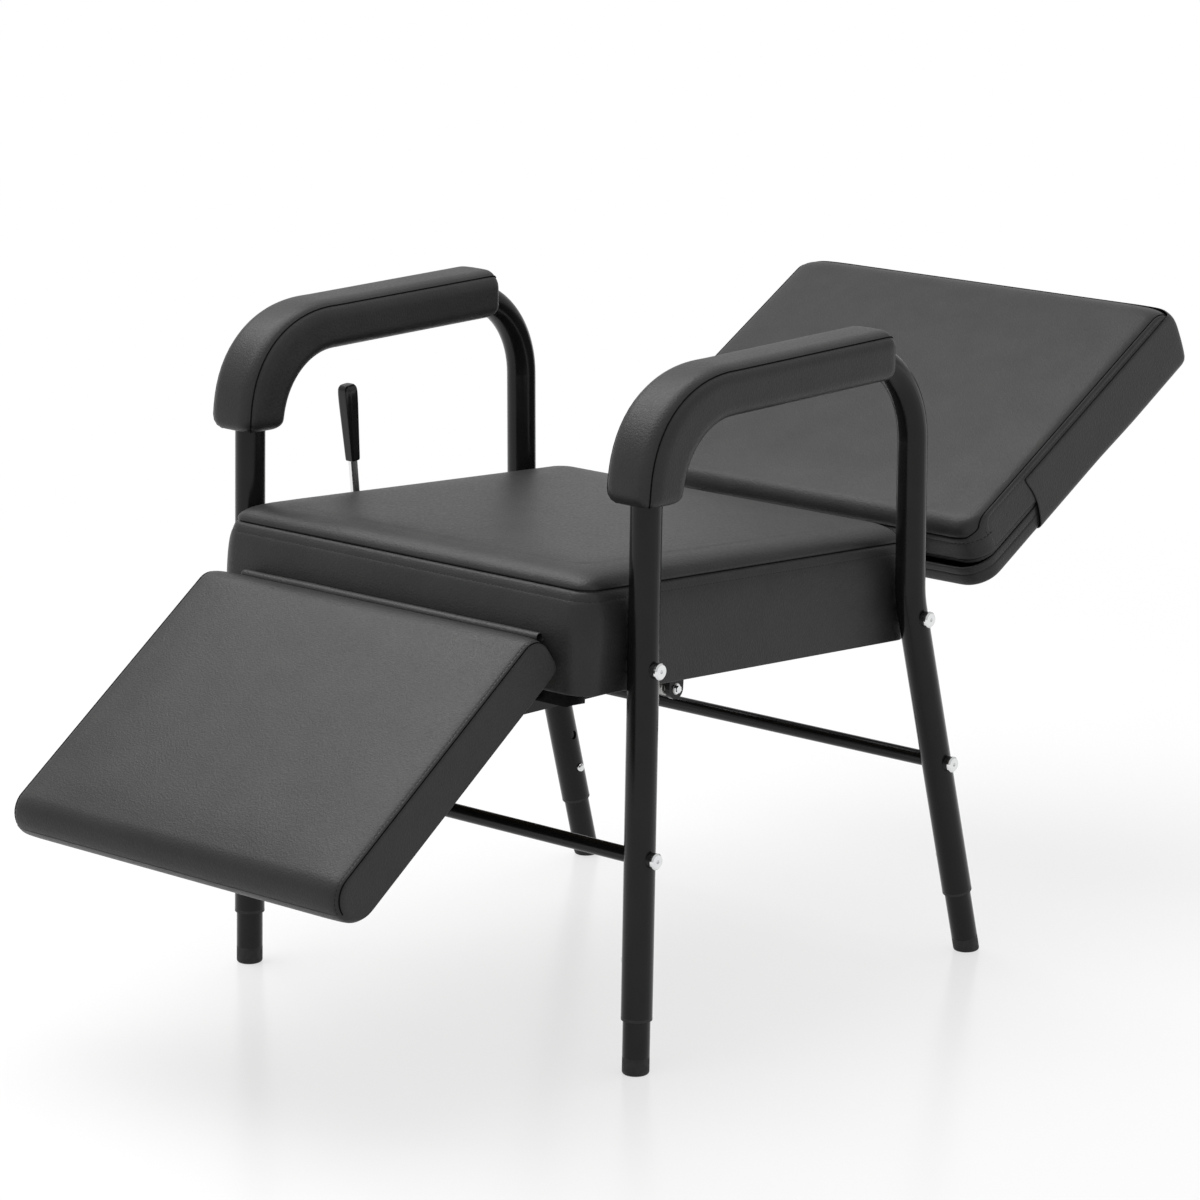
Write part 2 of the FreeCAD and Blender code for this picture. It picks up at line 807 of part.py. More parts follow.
def seat():
    inside = f"{INNER_HALF} - rail_wall"
    channel = box(middle(inside), (f"{INNER_FRONT} + rail_wall", f"{INNER_REAR} - rail_wall"),
                  ("rail_wall", "rail_high - rail_wall"))
    open_middle = box(middle(f"{INNER_HALF} - rail_wide"),
                      (f"{INNER_FRONT} + rail_wide", f"{INNER_REAR} - rail_wide"),
                      ("-overcut", "rail_high + overcut"))
    rails = cut(inner_slab(("0", "rail_high")), channel, open_middle)
    member_span = middle(f"{INNER_HALF} - rail_wide + overcut")
    member = box(member_span, ("-member_front", "member_rear"), ("0", "rail_high - rail_wall"))
    trough = box(member_span, ("-member_front + rail_wall", "member_rear - rail_wall"),
                 ("rail_wall", "rail_high + overcut"))
    nuts = [hexagon("nut_radius", both(sign, f"{inside} - nut_thick", inside), spot)
            for sign in SIDES.values() for spot in SEAT_BOLTS_TILTED]
    bores = [rod("bolt_radius", "x", middle("frame_half"), spot) for spot in SEAT_BOLTS_TILTED]
    node("seat_frame", cut(fuse(rails, cut(member, trough), *nuts), *bores), "seat")
    node("seat_board", inner_slab(("rail_high", "rail_high + board")), "seat")

    cushion_top = "seat_seam + seat_crown"
    cushion = slab("seat_half", ("-seat_front", "seat_rear"), ("0", cushion_top))
    rounded(cushion, "seat_corner", corner_edge("-seat_front"))
    rounded(cushion, "seat_rear_corner", corner_edge("seat_rear"))
    rounded(cushion, "seat_roll", level_edge(cushion_top))
    hollow = inner_slab(("-overcut", "rail_high + board"))
    spacer_holes = [rod("bolt_head", "x", middle("frame_half"), spot) for spot in SEAT_BOLTS_TILTED]
    node("seat_cushion", cut(cushion, hollow, *spacer_holes), "seat")


def legrest_hinge():
    """The rail under the seat's front edge, its lugs and the hinge pin."""
    rail_deep = (INNER_FRONT, f"{INNER_FRONT} + hinge_rail_deep")
    pieces = [box(middle("hinge_rail_half"), rail_deep, ("-hinge_rail", "0"))]
    axis = in_seat("hinge_y", "hinge_z")
    bores = []
    ahead = "-seat_front - lug_clear"
    strip = [(INNER_FRONT, "-hinge_rail"), (INNER_FRONT, "-lug_clear"), (ahead, "-lug_clear"),
             (ahead, axis[1]), axis, (axis[0], "-hinge_rail")]
    for sign in SIDES.values():
        for near in ("lug_inner", "lug_outer"):
            span = both(sign, near, f"{near} + lug_thick")
            pieces += [plate(strip, span), rod("barrel_radius - barrel_gap", "x", span, axis)]
            bores.append(rod("hinge_pin", "x", span, axis))
    node("hinge_rail", cut(fuse(*pieces), *bores), "seat")
    node("legrest_hinge_pin", rod("hinge_pin", "x", middle("hinge_pin_half"), ("hinge_y", "hinge_z")))


def back_pivots():
    """Brackets under the seat's rear edge and the two bolts that carry the backrest."""
    y, z = in_seat("pivot_y", "pivot_z")
    root = f"{INNER_REAR} - bracket_deep"
    web = [(root, "0"), (root, "-bracket_drop"), (y, "-bracket_drop"), (f"{y} + bracket_boss", z),
           (f"{y} - bracket_boss", z), ("seat_rear + bracket_clear", "0")]
    brackets = []
    bolts = []
    for sign in SIDES.values():
        span = both(sign, "arm_half + bracket_near", "arm_half + bracket_far")
        boss = rod("bracket_boss", "x", span, (y, z))
        brackets.append(cut(fuse(plate(web, span), boss), rod("pivot_bolt", "x", span, (y, z))))
        axis = ("pivot_y", "pivot_z")
        head_start = "arm_half + bracket_far"
        shank = rod("pivot_bolt", "x", both(sign, "arm_half - pivot_bolt_in", head_start), axis)
        head = hexagon("pivot_head", both(sign, head_start, f"{head_start} + pivot_head_thick"), axis)
        bolts.append(fuse(shank, head))
    node("back_brackets", group(*brackets), "seat")
    node("pivot_bolts", group(*bolts))


# Backrest
BOARD_LOW = "-back_rear - back_board"
COVER_LOW = f"{BOARD_LOW} - cover_deep"
STRAP_LOW = f"{BOARD_LOW} - strap_thick"
AXIS = ("0", "0")


def backrest():
    cushion = slab("back_half", ("back_bottom", "back_top"), ("-back_rear", "back_front"))
    rounded(cushion, "back_nose", across_edge("back_top", "back_front"))
    rounded(cushion, "back_corner", corner_edge("back_bottom"))
    rounded(cushion, "back_crown", across_edge("back_bottom", "back_front"))
    node("back_cushion", cushion, "back")

    cover_half = "back_half - cover_inset"
    cover_bottom = "back_bottom - cover_drop"
    cover_top = "back_top - cover_lower"
    shell = slab(cover_half, (cover_bottom, cover_top), (COVER_LOW, BOARD_LOW))
    rounded(shell, "cover_corner", corner_edge(cover_bottom))
    rounded(shell, "cover_top_corner", corner_edge(cover_top))
    rounded(shell, "cover_edge", level_edge(COVER_LOW))
    inner_bottom = f"{cover_bottom} + cover_wall"
    inner_top = f"{cover_top} - cover_wall"
    inner = slab(f"{cover_half} - cover_wall", (inner_bottom, inner_top),
                 (f"{COVER_LOW} + cover_wall", f"{BOARD_LOW} + overcut"))
    rounded(inner, "cover_corner - cover_wall", corner_edge(inner_bottom))
    rounded(inner, "cover_top_corner - cover_wall", corner_edge(inner_top))
    cover_spots = [(x, y) for x in middle("cover_screw_x") for y in ("cover_screw_low", "cover_screw_high")]
    posts = [rod("cover_post", "z", (COVER_LOW, BOARD_LOW), spot) for spot in cover_spots]
    bores = [rod("screw_radius", "z", (COVER_LOW, "-back_rear"), spot) for spot in cover_spots]
    notches = [box(both(sign, "arm_half - arm_notch", "arm_half + arm_notch"),
                   ("back_bottom - arm_notch", "back_bottom + arm_notch"),
                   (f"{BOARD_LOW} - arm_notch", f"{BOARD_LOW} + overcut")) for sign in SIDES.values()]
    node("back_cover", cut(fuse(cut(shell, inner), *posts), *bores, *notches), "back")

    arm_heights = ("arm_screw_low", "arm_screw_low + arm_screw_pitch",
                   "arm_screw_low + arm_screw_pitch + arm_screw_pitch")
    arm_spots = [(x, y) for x in middle("arm_half") for y in arm_heights]
    arm_bores = [rod("screw_radius", "z", (STRAP_LOW, "-back_rear"), spot) for spot in arm_spots]
    board = slab("back_half - board_inset", ("back_bottom + board_inset", "back_top - board_inset"),
                 (BOARD_LOW, "-back_rear"))
    rounded(board, "board_corner", upright_edge)
    node("back_board", cut(board, *bores, *arm_bores), "back")
    web = [("0", "web_front"), ("web_meet", BOARD_LOW), ("web_end", BOARD_LOW), ("web_end", STRAP_LOW),
           ("web_under", STRAP_LOW), ("0", "-web_rear")]
    arms = []
    for sign in SIDES.values():
        span = both(sign, "arm_half - arm_half_thick", "arm_half + arm_half_thick")
        strap = box(both(sign, "arm_half - strap_half", "arm_half + strap_half"),
                    ("back_bottom + strap_from", "strap_top"), (STRAP_LOW, BOARD_LOW))
        boss = rod("arm_boss", "x", span, AXIS)
        bearing = rod("pivot_bolt + running", "x", span, AXIS)
        arms.append(cut(fuse(plate(web, span), strap, boss), bearing, *arm_bores))
    node("back_arms", group(*arms), "back")
    screws = [screw(spot, COVER_LOW, "-back_rear") for spot in cover_spots]
    screws += [screw(spot, STRAP_LOW, "-back_rear") for spot in arm_spots]
    node("back_screws", group(*screws), "back")

    tube = middle("arm_half - arm_half_thick")
    node("pivot_tube", cut(rod("pivot_radius", "x", tube, AXIS), rod("pivot_bore", "x", tube, AXIS)), "back")
    bushes = []
    for sign in SIDES.values():
        span = both(sign, "arm_half - pivot_bush_in", "arm_half - arm_half_thick")
        bushes.append(cut(rod("pivot_bore", "x", span, AXIS), rod("pivot_bolt + running", "x", span, AXIS)))
    node("pivot_bushes", group(*bushes), "back")


# Linkage
CRANK_NEAR = "crank_half - crank_thick"
LINK_NEAR = "crank_half + link_gap"
LINK_FAR = f"{LINK_NEAR} + link_thick"


def crank_plate(span, length):
    """A crank on the pivot tube, with its pin hole straight below the axis in the crank's frame."""
    tip = ("0", minus(length))
    arm = box(span, middle("crank_wide"), (tip[1], "0"))
    hub = rod("pivot_radius + hub_wall", "x", span, AXIS)
    end = rod("crank_wide", "x", span, tip)
    return cut(fuse(arm, hub, end), rod("pivot_radius", "x", span, AXIS), rod("pin_radius", "x", span, tip))


def link_pin(sign, centre):
    """A pin that points away from the chair's middle plane, with a head outside its link bar."""
    far = f"{LINK_FAR} + link_gap"
    shank = rod("pin_radius", "x", both(sign, CRANK_NEAR, far), centre)
    head = rod("pin_head", "x", both(sign, far, f"{far} + pin_head_thick"), centre)
    return fuse(shank, head)


def linkage():
    gas_spot = ("0", "-gas_crank")
    gas_heads = [rod("pin_head", "x", both(sign, "gas_pin_half", "gas_pin_half + pin_head_thick"), gas_spot)
                 for sign in SIDES.values()]
    cranks = [crank_plate(middle("gas_crank_half"), "gas_crank")]
    pins = [fuse(rod("pin_radius", "x", middle("gas_pin_half"), gas_spot), *gas_heads)]
    for sign in SIDES.values():
        cranks.append(crank_plate(both(sign, CRANK_NEAR, "crank_half"), "crank_length"))
        pins.append(link_pin(sign, ("0", "-crank_length")))
    node("pivot_cranks", group(*cranks), "crank")
    node("crank_pins", group(*pins), "crank")

    lean = math.radians(number("crank_lean"))
    tip_y = number("pivot_y") - number("crank_length") * math.sin(lean)
    tip_z = number("pivot_z") - number("crank_length") * math.cos(lean)
    reach = math.hypot(number("pivot_y - hinge_y"), number("hinge_z - pivot_z"))
    front_eye = (-reach, "0")
    for side, sign in SIDES.items():
        span = both(sign, LINK_NEAR, LINK_FAR)
        bar = box(span, (-reach, "0"), middle("link_high"))
        eyes = [rod("link_eye", "x", span, eye) for eye in (front_eye, AXIS)]
        bores = [rod("pin_radius + link_clear", "x", span, front_eye),
                 rod("pin_radius + running", "x", span, AXIS)]
        link = cut(fuse(bar, *eyes), *bores)
        link.Placement = FreeCAD.Placement(Vector(0, tip_y, tip_z), FreeCAD.Rotation(Vector(-1, 0, 0), 1))
        link.setExpression("Placement.Rotation.Angle", LINK_SLOPE)
        node(f"link_{side}", link)


# Legrest
def legrest():
    body = slab("legrest_half", ("-legrest_length", "legrest_back"), ("legrest_under", "legrest_top"))
    rounded(body, "legrest_nose", across_edge("-legrest_length", "legrest_top"))
    rounded(body, "legrest_toe", across_edge("-legrest_length", "legrest_under"))
    rounded(body, "legrest_nose", across_edge("legrest_back", "legrest_top"))
    rounded(body, "legrest_heel", across_edge("legrest_back", "legrest_under"))
    rounded(body, "legrest_edge", side_edge("legrest_half", "legrest_under + legrest_heel"))
    board_box = (middle("legrest_half - legrest_border"),
                 ("-legrest_length + legrest_margin", "-legrest_board_top"),
                 ("legrest_under", "legrest_under + board"))
    node("legrest_cushion", cut(body, box(*board_box)), "legrest")

    steel = ("legrest_under - plate", "legrest_under")
    screw_top = "legrest_under + screw_bite"
    spots = [(x, y) for x in middle("plate_screw_x") for y in ("-plate_screw_top", "-plate_screw_low")]
    bores = [rod("screw_radius", "z", (steel[0], screw_top), spot) for spot in spots]
    node("legrest_board", cut(box(*board_box), *bores), "legrest")
    node("legrest_screws", group(*[screw(spot, steel[0], screw_top) for spot in spots]), "legrest")

    swing = math.radians(number("legrest_angle + crank_lean"))
    tip = (-number("crank_length") * math.sin(swing), -number("crank_length") * math.cos(swing))
    pieces = [box(middle("plate_half"), ("-plate_low", "-plate_top"), steel)]
    for sign in SIDES.values():
        barrel = both(sign, "barrel_inner", "barrel_outer")
        crank = both(sign, CRANK_NEAR, "crank_half")
        pieces.append(box(both(sign, "hinge_strap_near", "hinge_strap_far"), ("-plate_top", "0"), steel))
        pieces.append(rod("barrel_radius", "x", barrel, AXIS))
        lug_deep = (f"{tip[0]} - link_lug_half", f"{tip[0]} + link_lug_half")
        pieces.append(box(crank, lug_deep, (tip[1], steel[0])))
        pieces.append(rod("link_lug_half", "x", crank, tip))
        bores.append(rod("hinge_pin + running", "x", barrel, AXIS))
        bores.append(rod("pin_radius", "x", crank, tip))
    node("legrest_plate", cut(fuse(*pieces), *bores), "legrest")
    node("lug_pins", group(*[link_pin(sign, tip) for sign in SIDES.values()]), "legrest")

    across = middle("roll_half")
    rolled = rod("roll_radius", "x", across, ("roll_y", "roll_z"))
    hollow = rod("roll_radius - roll_wall", "x", across, ("roll_y", "roll_z"))
    flap_top = "roll_z + roll_radius"
    flap = box(across, ("-flap_from", "roll_y"), (f"{flap_top} - roll_wall", flap_top))
    node("legrest_roll", cut(fuse(rolled, flap), body, hollow), "legrest")


# Gas spring
def gas_spring():
    axis = ("0", "gas_z")
    tube = rod("gas_radius", "y", ("gas_front", "gas_rear"), axis)
    bore = rod("gas_bore", "y", ("gas_front + gas_gland", "gas_rear - gas_end"), axis)
    gland = rod("gas_rod + running", "y", ("gas_front", "gas_front + gas_gland"), axis)
    node("gas_cylinder", cut(tube, bore, gland))

    pin_y = number("pivot_y") - number("gas_crank") * math.sin(math.radians(number("crank_lean")))
    yoke_end = f"{pin_y} + yoke_end"
    yoke = box(middle("yoke_half"), ("gas_rear", yoke_end), ("gas_z - yoke_high", "gas_z + yoke_high"))
    throat = box(middle("throat_half"), (f"{pin_y} - throat_deep", f"{yoke_end} + overcut"),
                 ("gas_z - yoke_high - overcut", "gas_z + yoke_high + overcut"))
    across = middle("yoke_half + overcut")
    slot_ends = ("gas_z - slot_rise", "gas_z + slot_rise")
    slot = box(across, (f"{pin_y} - slot_half", f"{pin_y} + slot_half"), slot_ends)
    rounds = [rod("slot_half", "x", across, (pin_y, height)) for height in slot_ends]
    node("gas_clevis", cut(yoke, throat, slot, *rounds))

    rod_end = "head_rear - rod_in"
    piston_end = "gas_front + piston_at + piston_long"
    stem = rod("gas_rod", "y", (rod_end, piston_end), axis)
    piston = rod("gas_bore - running", "y", ("gas_front + piston_at", piston_end), axis)
    tail = rod("release_pin", "y", ("head_front - release_proud", rod_end), axis)
    node("gas_rod", fuse(stem, piston, tail))

    head = box(middle("head_half"), ("head_front", "head_rear"), ("gas_z - head_high", "gas_z + head_high"))
    passage = rod("release_pin", "y", ("head_front", rod_end), axis)
    socket = rod("gas_rod", "y", (rod_end, "head_rear"), axis)
    pin_spot = ("head_front + anchor_pin_at", "gas_z")
    bores = [rod("pin_radius", "x", both(sign, "anchor_pin_in", "head_half"), pin_spot)
             for sign in SIDES.values()]
    node("release_head", cut(head, passage, socket, *bores))

    cheeks = []
    for sign in SIDES.values():
        cheek = box(both(sign, "cheek_near", "cheek_far"),
                    ("head_front + cheek_short", "head_rear - cheek_short"),
                    ("gas_z - head_high", "seat_z + overcut"))
        under_seat = place(group(box(middle("drill"), middle("floor_deep"), ("0", "floor_deep"))), "seat")
        pin = rod("pin_radius", "x", both(sign, "anchor_pin_in", "anchor_pin_out"), pin_spot)
        cheeks.append(fuse(cut(cheek, under_seat), pin))
    node("gas_anchor", group(*cheeks))


# Release lever
def release_lever():
    y, z = in_seat("shaft_y", "shaft_z")
    hangers = []
    for sign in SIDES.values():
        span = both(sign, "hanger_x - hanger_half", "hanger_x + hanger_half")
        strip = box(span, (f"{y} - hanger_radius", f"{y} + hanger_radius"), (z, "0"))
        end = rod("hanger_radius", "x", span, (y, z))
        hangers.append(cut(fuse(strip, end), rod("shaft_radius + running", "x", span, (y, z))))
    node("shaft_hangers", group(*hangers), "seat")

    hub_span = ("-lever_x - hub_half", "-lever_x + hub_half")
    shaft_end = "hanger_x + shaft_end"
    node("lever_shaft", group(rod("shaft_radius", "x", (hub_span[0], shaft_end), AXIS)), "lever")
    hub = rod("shaft_radius + hub_wall", "x", hub_span, AXIS)
    stem = rod("lever_rod", "z", ("stem_from", "grip_from + grip_deep"), ("-lever_x", "0"))
    node("lever_rod", cut(fuse(hub, stem), rod("shaft_radius", "x", hub_span, AXIS)), "lever")
    shoulder = "grip_top - grip_shoulder"
    grip = turned([("lever_rod", "grip_from"), ("grip_low", "grip_from"),
                   ("grip_high", "grip_top - grip_band"), ("grip_high", shoulder),
                   ("grip_high - grip_round", "grip_top - grip_dome"),
                   ("grip_high - grip_shoulder", "grip_top"), ("0", "grip_top"),
                   ("0", "grip_from + grip_deep"), ("lever_rod", "grip_from + grip_deep")], "-lever_x")
    node("lever_grip", grip, "lever")

    collar_span = middle("hub_half")
    collar = rod("shaft_radius + finger_wall", "x", collar_span, AXIS)
    finger = box(middle("finger_half"), middle("finger_thick"), ("-finger_long", "0"))
    node("release_finger", cut(fuse(collar, finger), rod("shaft_radius", "x", collar_span, AXIS)), "lever")
    washer_end = f"{shaft_end} + shaft_washer_thick"
    washer = rod("shaft_washer", "x", (shaft_end, washer_end), AXIS)
    head = hexagon("shaft_head", (washer_end, f"{washer_end} + shaft_head_thick"), AXIS)
    node("shaft_bolt", fuse(head, washer), "lever")

    coils = []
    for turn in range(int(number("coil_turns"))):
        coil = doc.addObject("Part::Torus", "coil")
        coil.Placement = FreeCAD.Placement(Vector(), TURNS["x"])
        bind(coil, "Radius1", "coil_mean")
        bind(coil, "Radius2", "coil_wire")
        bind(coil, "Placement.Base.x", f"coil_from + {turn * number('coil_pitch')}")
        bind(coil, "Placement.Base.y", "shaft_y")
        bind(coil, "Placement.Base.z", "shaft_z")
        coils.append(coil)
    node("return_spring", group(*coils))


for side_name in SIDES:
    side_frame(side_name)
    armrest_pad(side_name)
    for end_name in ENDS:
        leg(side_name, end_name)
crossbars()
leg_bushes()
frame_fasteners()
seat()
legrest_hinge()
back_pivots()
backrest()
linkage()
legrest()
gas_spring()
release_lever()
doc.recompute()

broken = [item.Label for item in doc.Objects if "Invalid" in item.State or "Error" in item.State]
broken += [name for name, piece in NODES.items() if piece.Shape.isNull() or not piece.Shape.isValid()]
if broken:
    raise RuntimeError(f"pieces that did not build: {broken}")
os.makedirs("parts", exist_ok=True)
for name, piece in NODES.items():
    piece.Shape.exportStep(f"parts/{name}.step")
print(len(NODES), "pieces")
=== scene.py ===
"""Looks of the shampoo chair: upholstery, finishes, studio and camera. Local sizes are millimetres."""
import json
import math
from collections import namedtuple

import bmesh
import bpy
from mathutils import Matrix, Vector, noise


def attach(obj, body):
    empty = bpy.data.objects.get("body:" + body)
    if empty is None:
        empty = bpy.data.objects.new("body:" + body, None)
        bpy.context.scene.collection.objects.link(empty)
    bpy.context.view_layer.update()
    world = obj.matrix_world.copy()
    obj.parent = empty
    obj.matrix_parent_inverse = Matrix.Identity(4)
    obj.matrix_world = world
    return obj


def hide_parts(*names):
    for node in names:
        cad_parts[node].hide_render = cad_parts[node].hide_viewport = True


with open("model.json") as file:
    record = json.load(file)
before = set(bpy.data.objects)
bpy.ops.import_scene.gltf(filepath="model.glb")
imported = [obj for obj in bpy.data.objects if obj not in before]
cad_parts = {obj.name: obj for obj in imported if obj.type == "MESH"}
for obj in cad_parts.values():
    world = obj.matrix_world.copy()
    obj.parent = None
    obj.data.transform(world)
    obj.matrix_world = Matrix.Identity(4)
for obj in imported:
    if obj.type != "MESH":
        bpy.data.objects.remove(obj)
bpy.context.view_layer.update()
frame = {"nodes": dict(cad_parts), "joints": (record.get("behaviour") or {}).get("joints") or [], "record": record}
JOINTS = {joint["name"]: joint for joint in frame["joints"]}
SIDES = ("left", "right")
MM = 0.001


# Local frames: millimetres in, metres of the whole chair out
def tilted(y, z, degrees):
    turned = Matrix.Rotation(math.radians(degrees), 4, "X")
    return Matrix.Translation((0, y, z)) @ turned @ Matrix.Scale(MM, 4)


def at_joint(name, degrees):
    return tilted(*JOINTS[name]["pos_m"][1:], degrees)


SEAT_SPOT = (-0.08875, 0.37925)
SEAT_TILT = -4
LEGREST_TILT = 35.1
BACK_TILT = 29.15
LEVER_TILT = 5
CHAIR = Matrix.Scale(MM, 4)
SEAT = tilted(*SEAT_SPOT, SEAT_TILT)
LEGREST = at_joint("legrest_lift", LEGREST_TILT)
BACK = at_joint("back_recline", BACK_TILT)
LEVER = at_joint("release_lever", LEVER_TILT)


def extent(node, place):
    """Low and high values of a node along each axis of a local frame."""
    shown = frame["nodes"][node]
    inward = place.inverted() @ shown.matrix_world
    spots = [inward @ vertex.co for vertex in shown.data.vertices]
    return [(min(spot[axis] for spot in spots), max(spot[axis] for spot in spots)) for axis in range(3)]


# Mesh building
Grid = namedtuple("Grid", "across along")
Pad = namedtuple("Pad", "piece loops top")
ARC_STEPS = 5
EIGHTH = math.pi / 4
LEAST_CORNER = 2.0


def facing(angle):
    return Vector((math.cos(angle), math.sin(angle)))


def even(count):
    return [k / count for k in range(count)]


def mirrored(stops):
    return [0.0] + [1 - stop for stop in reversed(stops[1:])]


def section(a, b, radii, grid):
    """A rounded rectangle as (point, outward normal) pairs, from the middle of its first corner."""
    signs = ((-1, -1), (1, -1), (1, 1), (-1, 1))
    centres = [Vector((a[sa > 0] - sa * r, b[sb > 0] - sb * r)) for (sa, sb), r in zip(signs, radii)]
    spots = []
    for k, stops in enumerate((grid.across, grid.along, mirrored(grid.across), mirrored(grid.along))):
        middle = EIGHTH * (2 * k - 2)
        out = facing(middle)
        after = (k + 1) % 4
        start = centres[k] + out * radii[k]
        end = centres[after] + out * radii[after]
        for i in range(ARC_STEPS):
            turned = facing(middle - EIGHTH * (1 - i / ARC_STEPS))
            spots.append((centres[k] + turned * radii[k], turned))
        spots += [(start.lerp(end, stop), out) for stop in stops]
        for i in range(ARC_STEPS):
            turned = facing(middle + EIGHTH * i / ARC_STEPS)
            spots.append((centres[after] + turned * radii[after], turned))
    return spots


def side_start(grid, k):
    """Where the first point of a straight side comes in a section."""
    lengths = [len(grid.across), len(grid.along)] * 2
    return sum(lengths[:k]) + 2 * ARC_STEPS * k + ARC_STEPS


def third_side(grid):
    """The points of a section's third straight side, which faces the sitter on a pad."""
    first = side_start(grid, 2)
    return range(first, first + len(grid.across))


def grooved(spots, depths):
    """The points of a section, set in by a depth at some places."""
    return [spot - normal * depths.get(i, 0.0) for i, (spot, normal) in enumerate(spots)]


def inset(a, b, radii, depth, grid):
    """The points of a rounded rectangle that lies inside another."""
    inner = [max(radius - depth, LEAST_CORNER) for radius in radii]
    return grooved(section((a[0] + depth, a[1] - depth), (b[0] + depth, b[1] - depth), inner, grid), {})


def fill(points, faces, loop, counts, lift, upward):
    """Close a loop with a grid of quads. Its inner points lift off a sheet spanned by the loop."""
    across, along = counts
    grid = [[None] * (along + 1) for _ in range(across + 1)]
    for i in range(across + 1):
        grid[i][0] = loop[i]
        grid[i][along] = loop[2 * across + along - i]
    for j in range(along + 1):
        grid[across][j] = loop[across + j]
        grid[0][j] = loop[-j]
    edge = {key: points[grid[key[0]][key[1]]] for key in
            [(i, j) for i in range(across + 1) for j in (0, along)]
            + [(i, j) for i in (0, across) for j in range(along + 1)]}
    first = len(points)
    for i in range(1, across):
        u = i / across
        for j in range(1, along):
            v = j / along
            spot = edge[i, 0].lerp(edge[i, along], v) + edge[0, j].lerp(edge[across, j], u)
            near = edge[0, 0].lerp(edge[across, 0], u)
            far = edge[0, along].lerp(edge[across, along], u)
            spot -= near.lerp(far, v)
            spot.z += lift(spot.x, spot.y)
            grid[i][j] = len(points)
            points.append(spot)
    for i in range(across):
        for j in range(along):
            quad = (grid[i][j], grid[i + 1][j], grid[i + 1][j + 1], grid[i][j + 1])
            faces.append(quad if upward else quad[::-1])
    return range(first, len(points))


def finish_piece(name, points, faces, place, finish):
    mesh = bpy.data.meshes.new(name)
    mesh.from_pydata([place @ Vector(point) for point in points], [], faces)
    mesh.polygons.foreach_set("use_smooth", [True] * len(faces))
    mesh.materials.append(finish)
    piece = bpy.data.objects.new(name, mesh)
    bpy.context.collection.objects.link(piece)
    return piece


def upright(point):
    return point


def dome(rise, a, b):
    """A lift that is highest in the middle of a panel and nothing at its edges."""
    def lift(x, y):
        u = (2 * x - a[0] - a[1]) / (a[1] - a[0])
        v = (2 * y - b[0] - b[1]) / (b[1] - b[0])
        return rise * max(0.0, 1 - u * u) * max(0.0, 1 - v * v)
    return lift


def flat(x, y):
    return 0.0


def loft(name, place, grid, rings, finish, top=flat, turn=upright):
    """A closed skin through rings of (height, section points), filled at both ends."""
    points = [Vector((*spot, height)) for height, ring in rings for spot in ring]
    count = len(rings[0][1])
    loops = [list(range(k * count, (k + 1) * count)) for k in range(len(rings))]
    faces = []
    for below, above in zip(loops, loops[1:]):
        for i in range(count):
            after = (i + 1) % count
            faces.append((below[i], below[after], above[after], above[i]))
    counts = [len(stops) + 2 * ARC_STEPS for stops in grid]
    fill(points, faces, loops[0], counts, flat, False)
    cap = fill(points, faces, loops[-1], counts, top, True)
    piece = finish_piece(name, [turn(point) for point in points], faces, place, finish)
    return Pad(piece, loops, cap)


def sheet(name, rows, place, finish, thick):
    """A leather sheet through rows of points, given its thickness."""
    wide = len(rows[0])
    faces = []
    for r in range(len(rows) - 1):
        for c in range(wide - 1):
            here = r * wide + c
            faces.append((here, here + 1, here + wide + 1, here + wide))
    piece = finish_piece(name, [point for row in rows for point in row], faces, place, finish)
    solid = piece.modifiers.new("thickness", "SOLIDIFY")
    solid.thickness = thick * MM
    solid.offset = 0
    return piece


def smooth(piece):
    rounding = piece.modifiers.new("rounding", "SUBSURF")
    rounding.levels = 1
    rounding.render_levels = 1


PRESSURE = 4.0
CLOTH_FRAMES = 20
EASING = 10


def swell(pad, loose, reach):
    """Stuff a pad: its loose points are blown out as cloth, each by at most reach."""
    piece = pad.piece
    rest = [vertex.co.copy() for vertex in piece.data.vertices]
    held = piece.vertex_groups.new(name="held")
    held.add([i for i in range(len(rest)) if i not in loose], 1.0, "REPLACE")
    cloth = piece.modifiers.new("stuffing", "CLOTH")
    cloth.settings.vertex_group_mass = held.name
    cloth.settings.use_pressure = True
    cloth.settings.uniform_pressure_force = PRESSURE
    cloth.settings.effector_weights.gravity = 0
    for step in range(1, CLOTH_FRAMES + 1):
        bpy.context.scene.frame_set(step)
    swollen = piece.evaluated_get(bpy.context.evaluated_depsgraph_get()).data
    moved = [vertex.co.copy() for vertex in swollen.vertices]
    piece.modifiers.remove(cloth)
    piece.vertex_groups.remove(held)
    bpy.context.scene.frame_set(1)
    shifts = [Vector() for _ in rest]
    for i in loose:
        shifts[i] = moved[i] - rest[i]
        if shifts[i].length > reach * MM:
            shifts[i] *= reach * MM / shifts[i].length
    for i, shift in enumerate(eased(piece, shifts, loose)):
        piece.data.vertices[i].co = rest[i] + shift


def eased(piece, shifts, loose):
    """The shifts of loose points, evened out with their neighbours' so that no small creases stay."""
    beside = {i: [] for i in loose}
    for edge in piece.data.edges:
        first, second = edge.vertices
        if first in beside:
            beside[first].append(second)
        if second in beside:
            beside[second].append(first)
    for _ in range(EASING):
        evened = list(shifts)
        for i, near in beside.items():
            evened[i] = sum((shifts[k] for k in near), shifts[i]) / (len(near) + 1)
        shifts = evened
    return shifts


STITCH_PITCH = 5.0
STITCH_HALF = Vector((1.9, 0.5, 0.45))
STITCH_SHOULDER = 0.6
STITCH_SIDES = 6
CORD_RADIUS = 0.7
CORD_RISE = 0.5


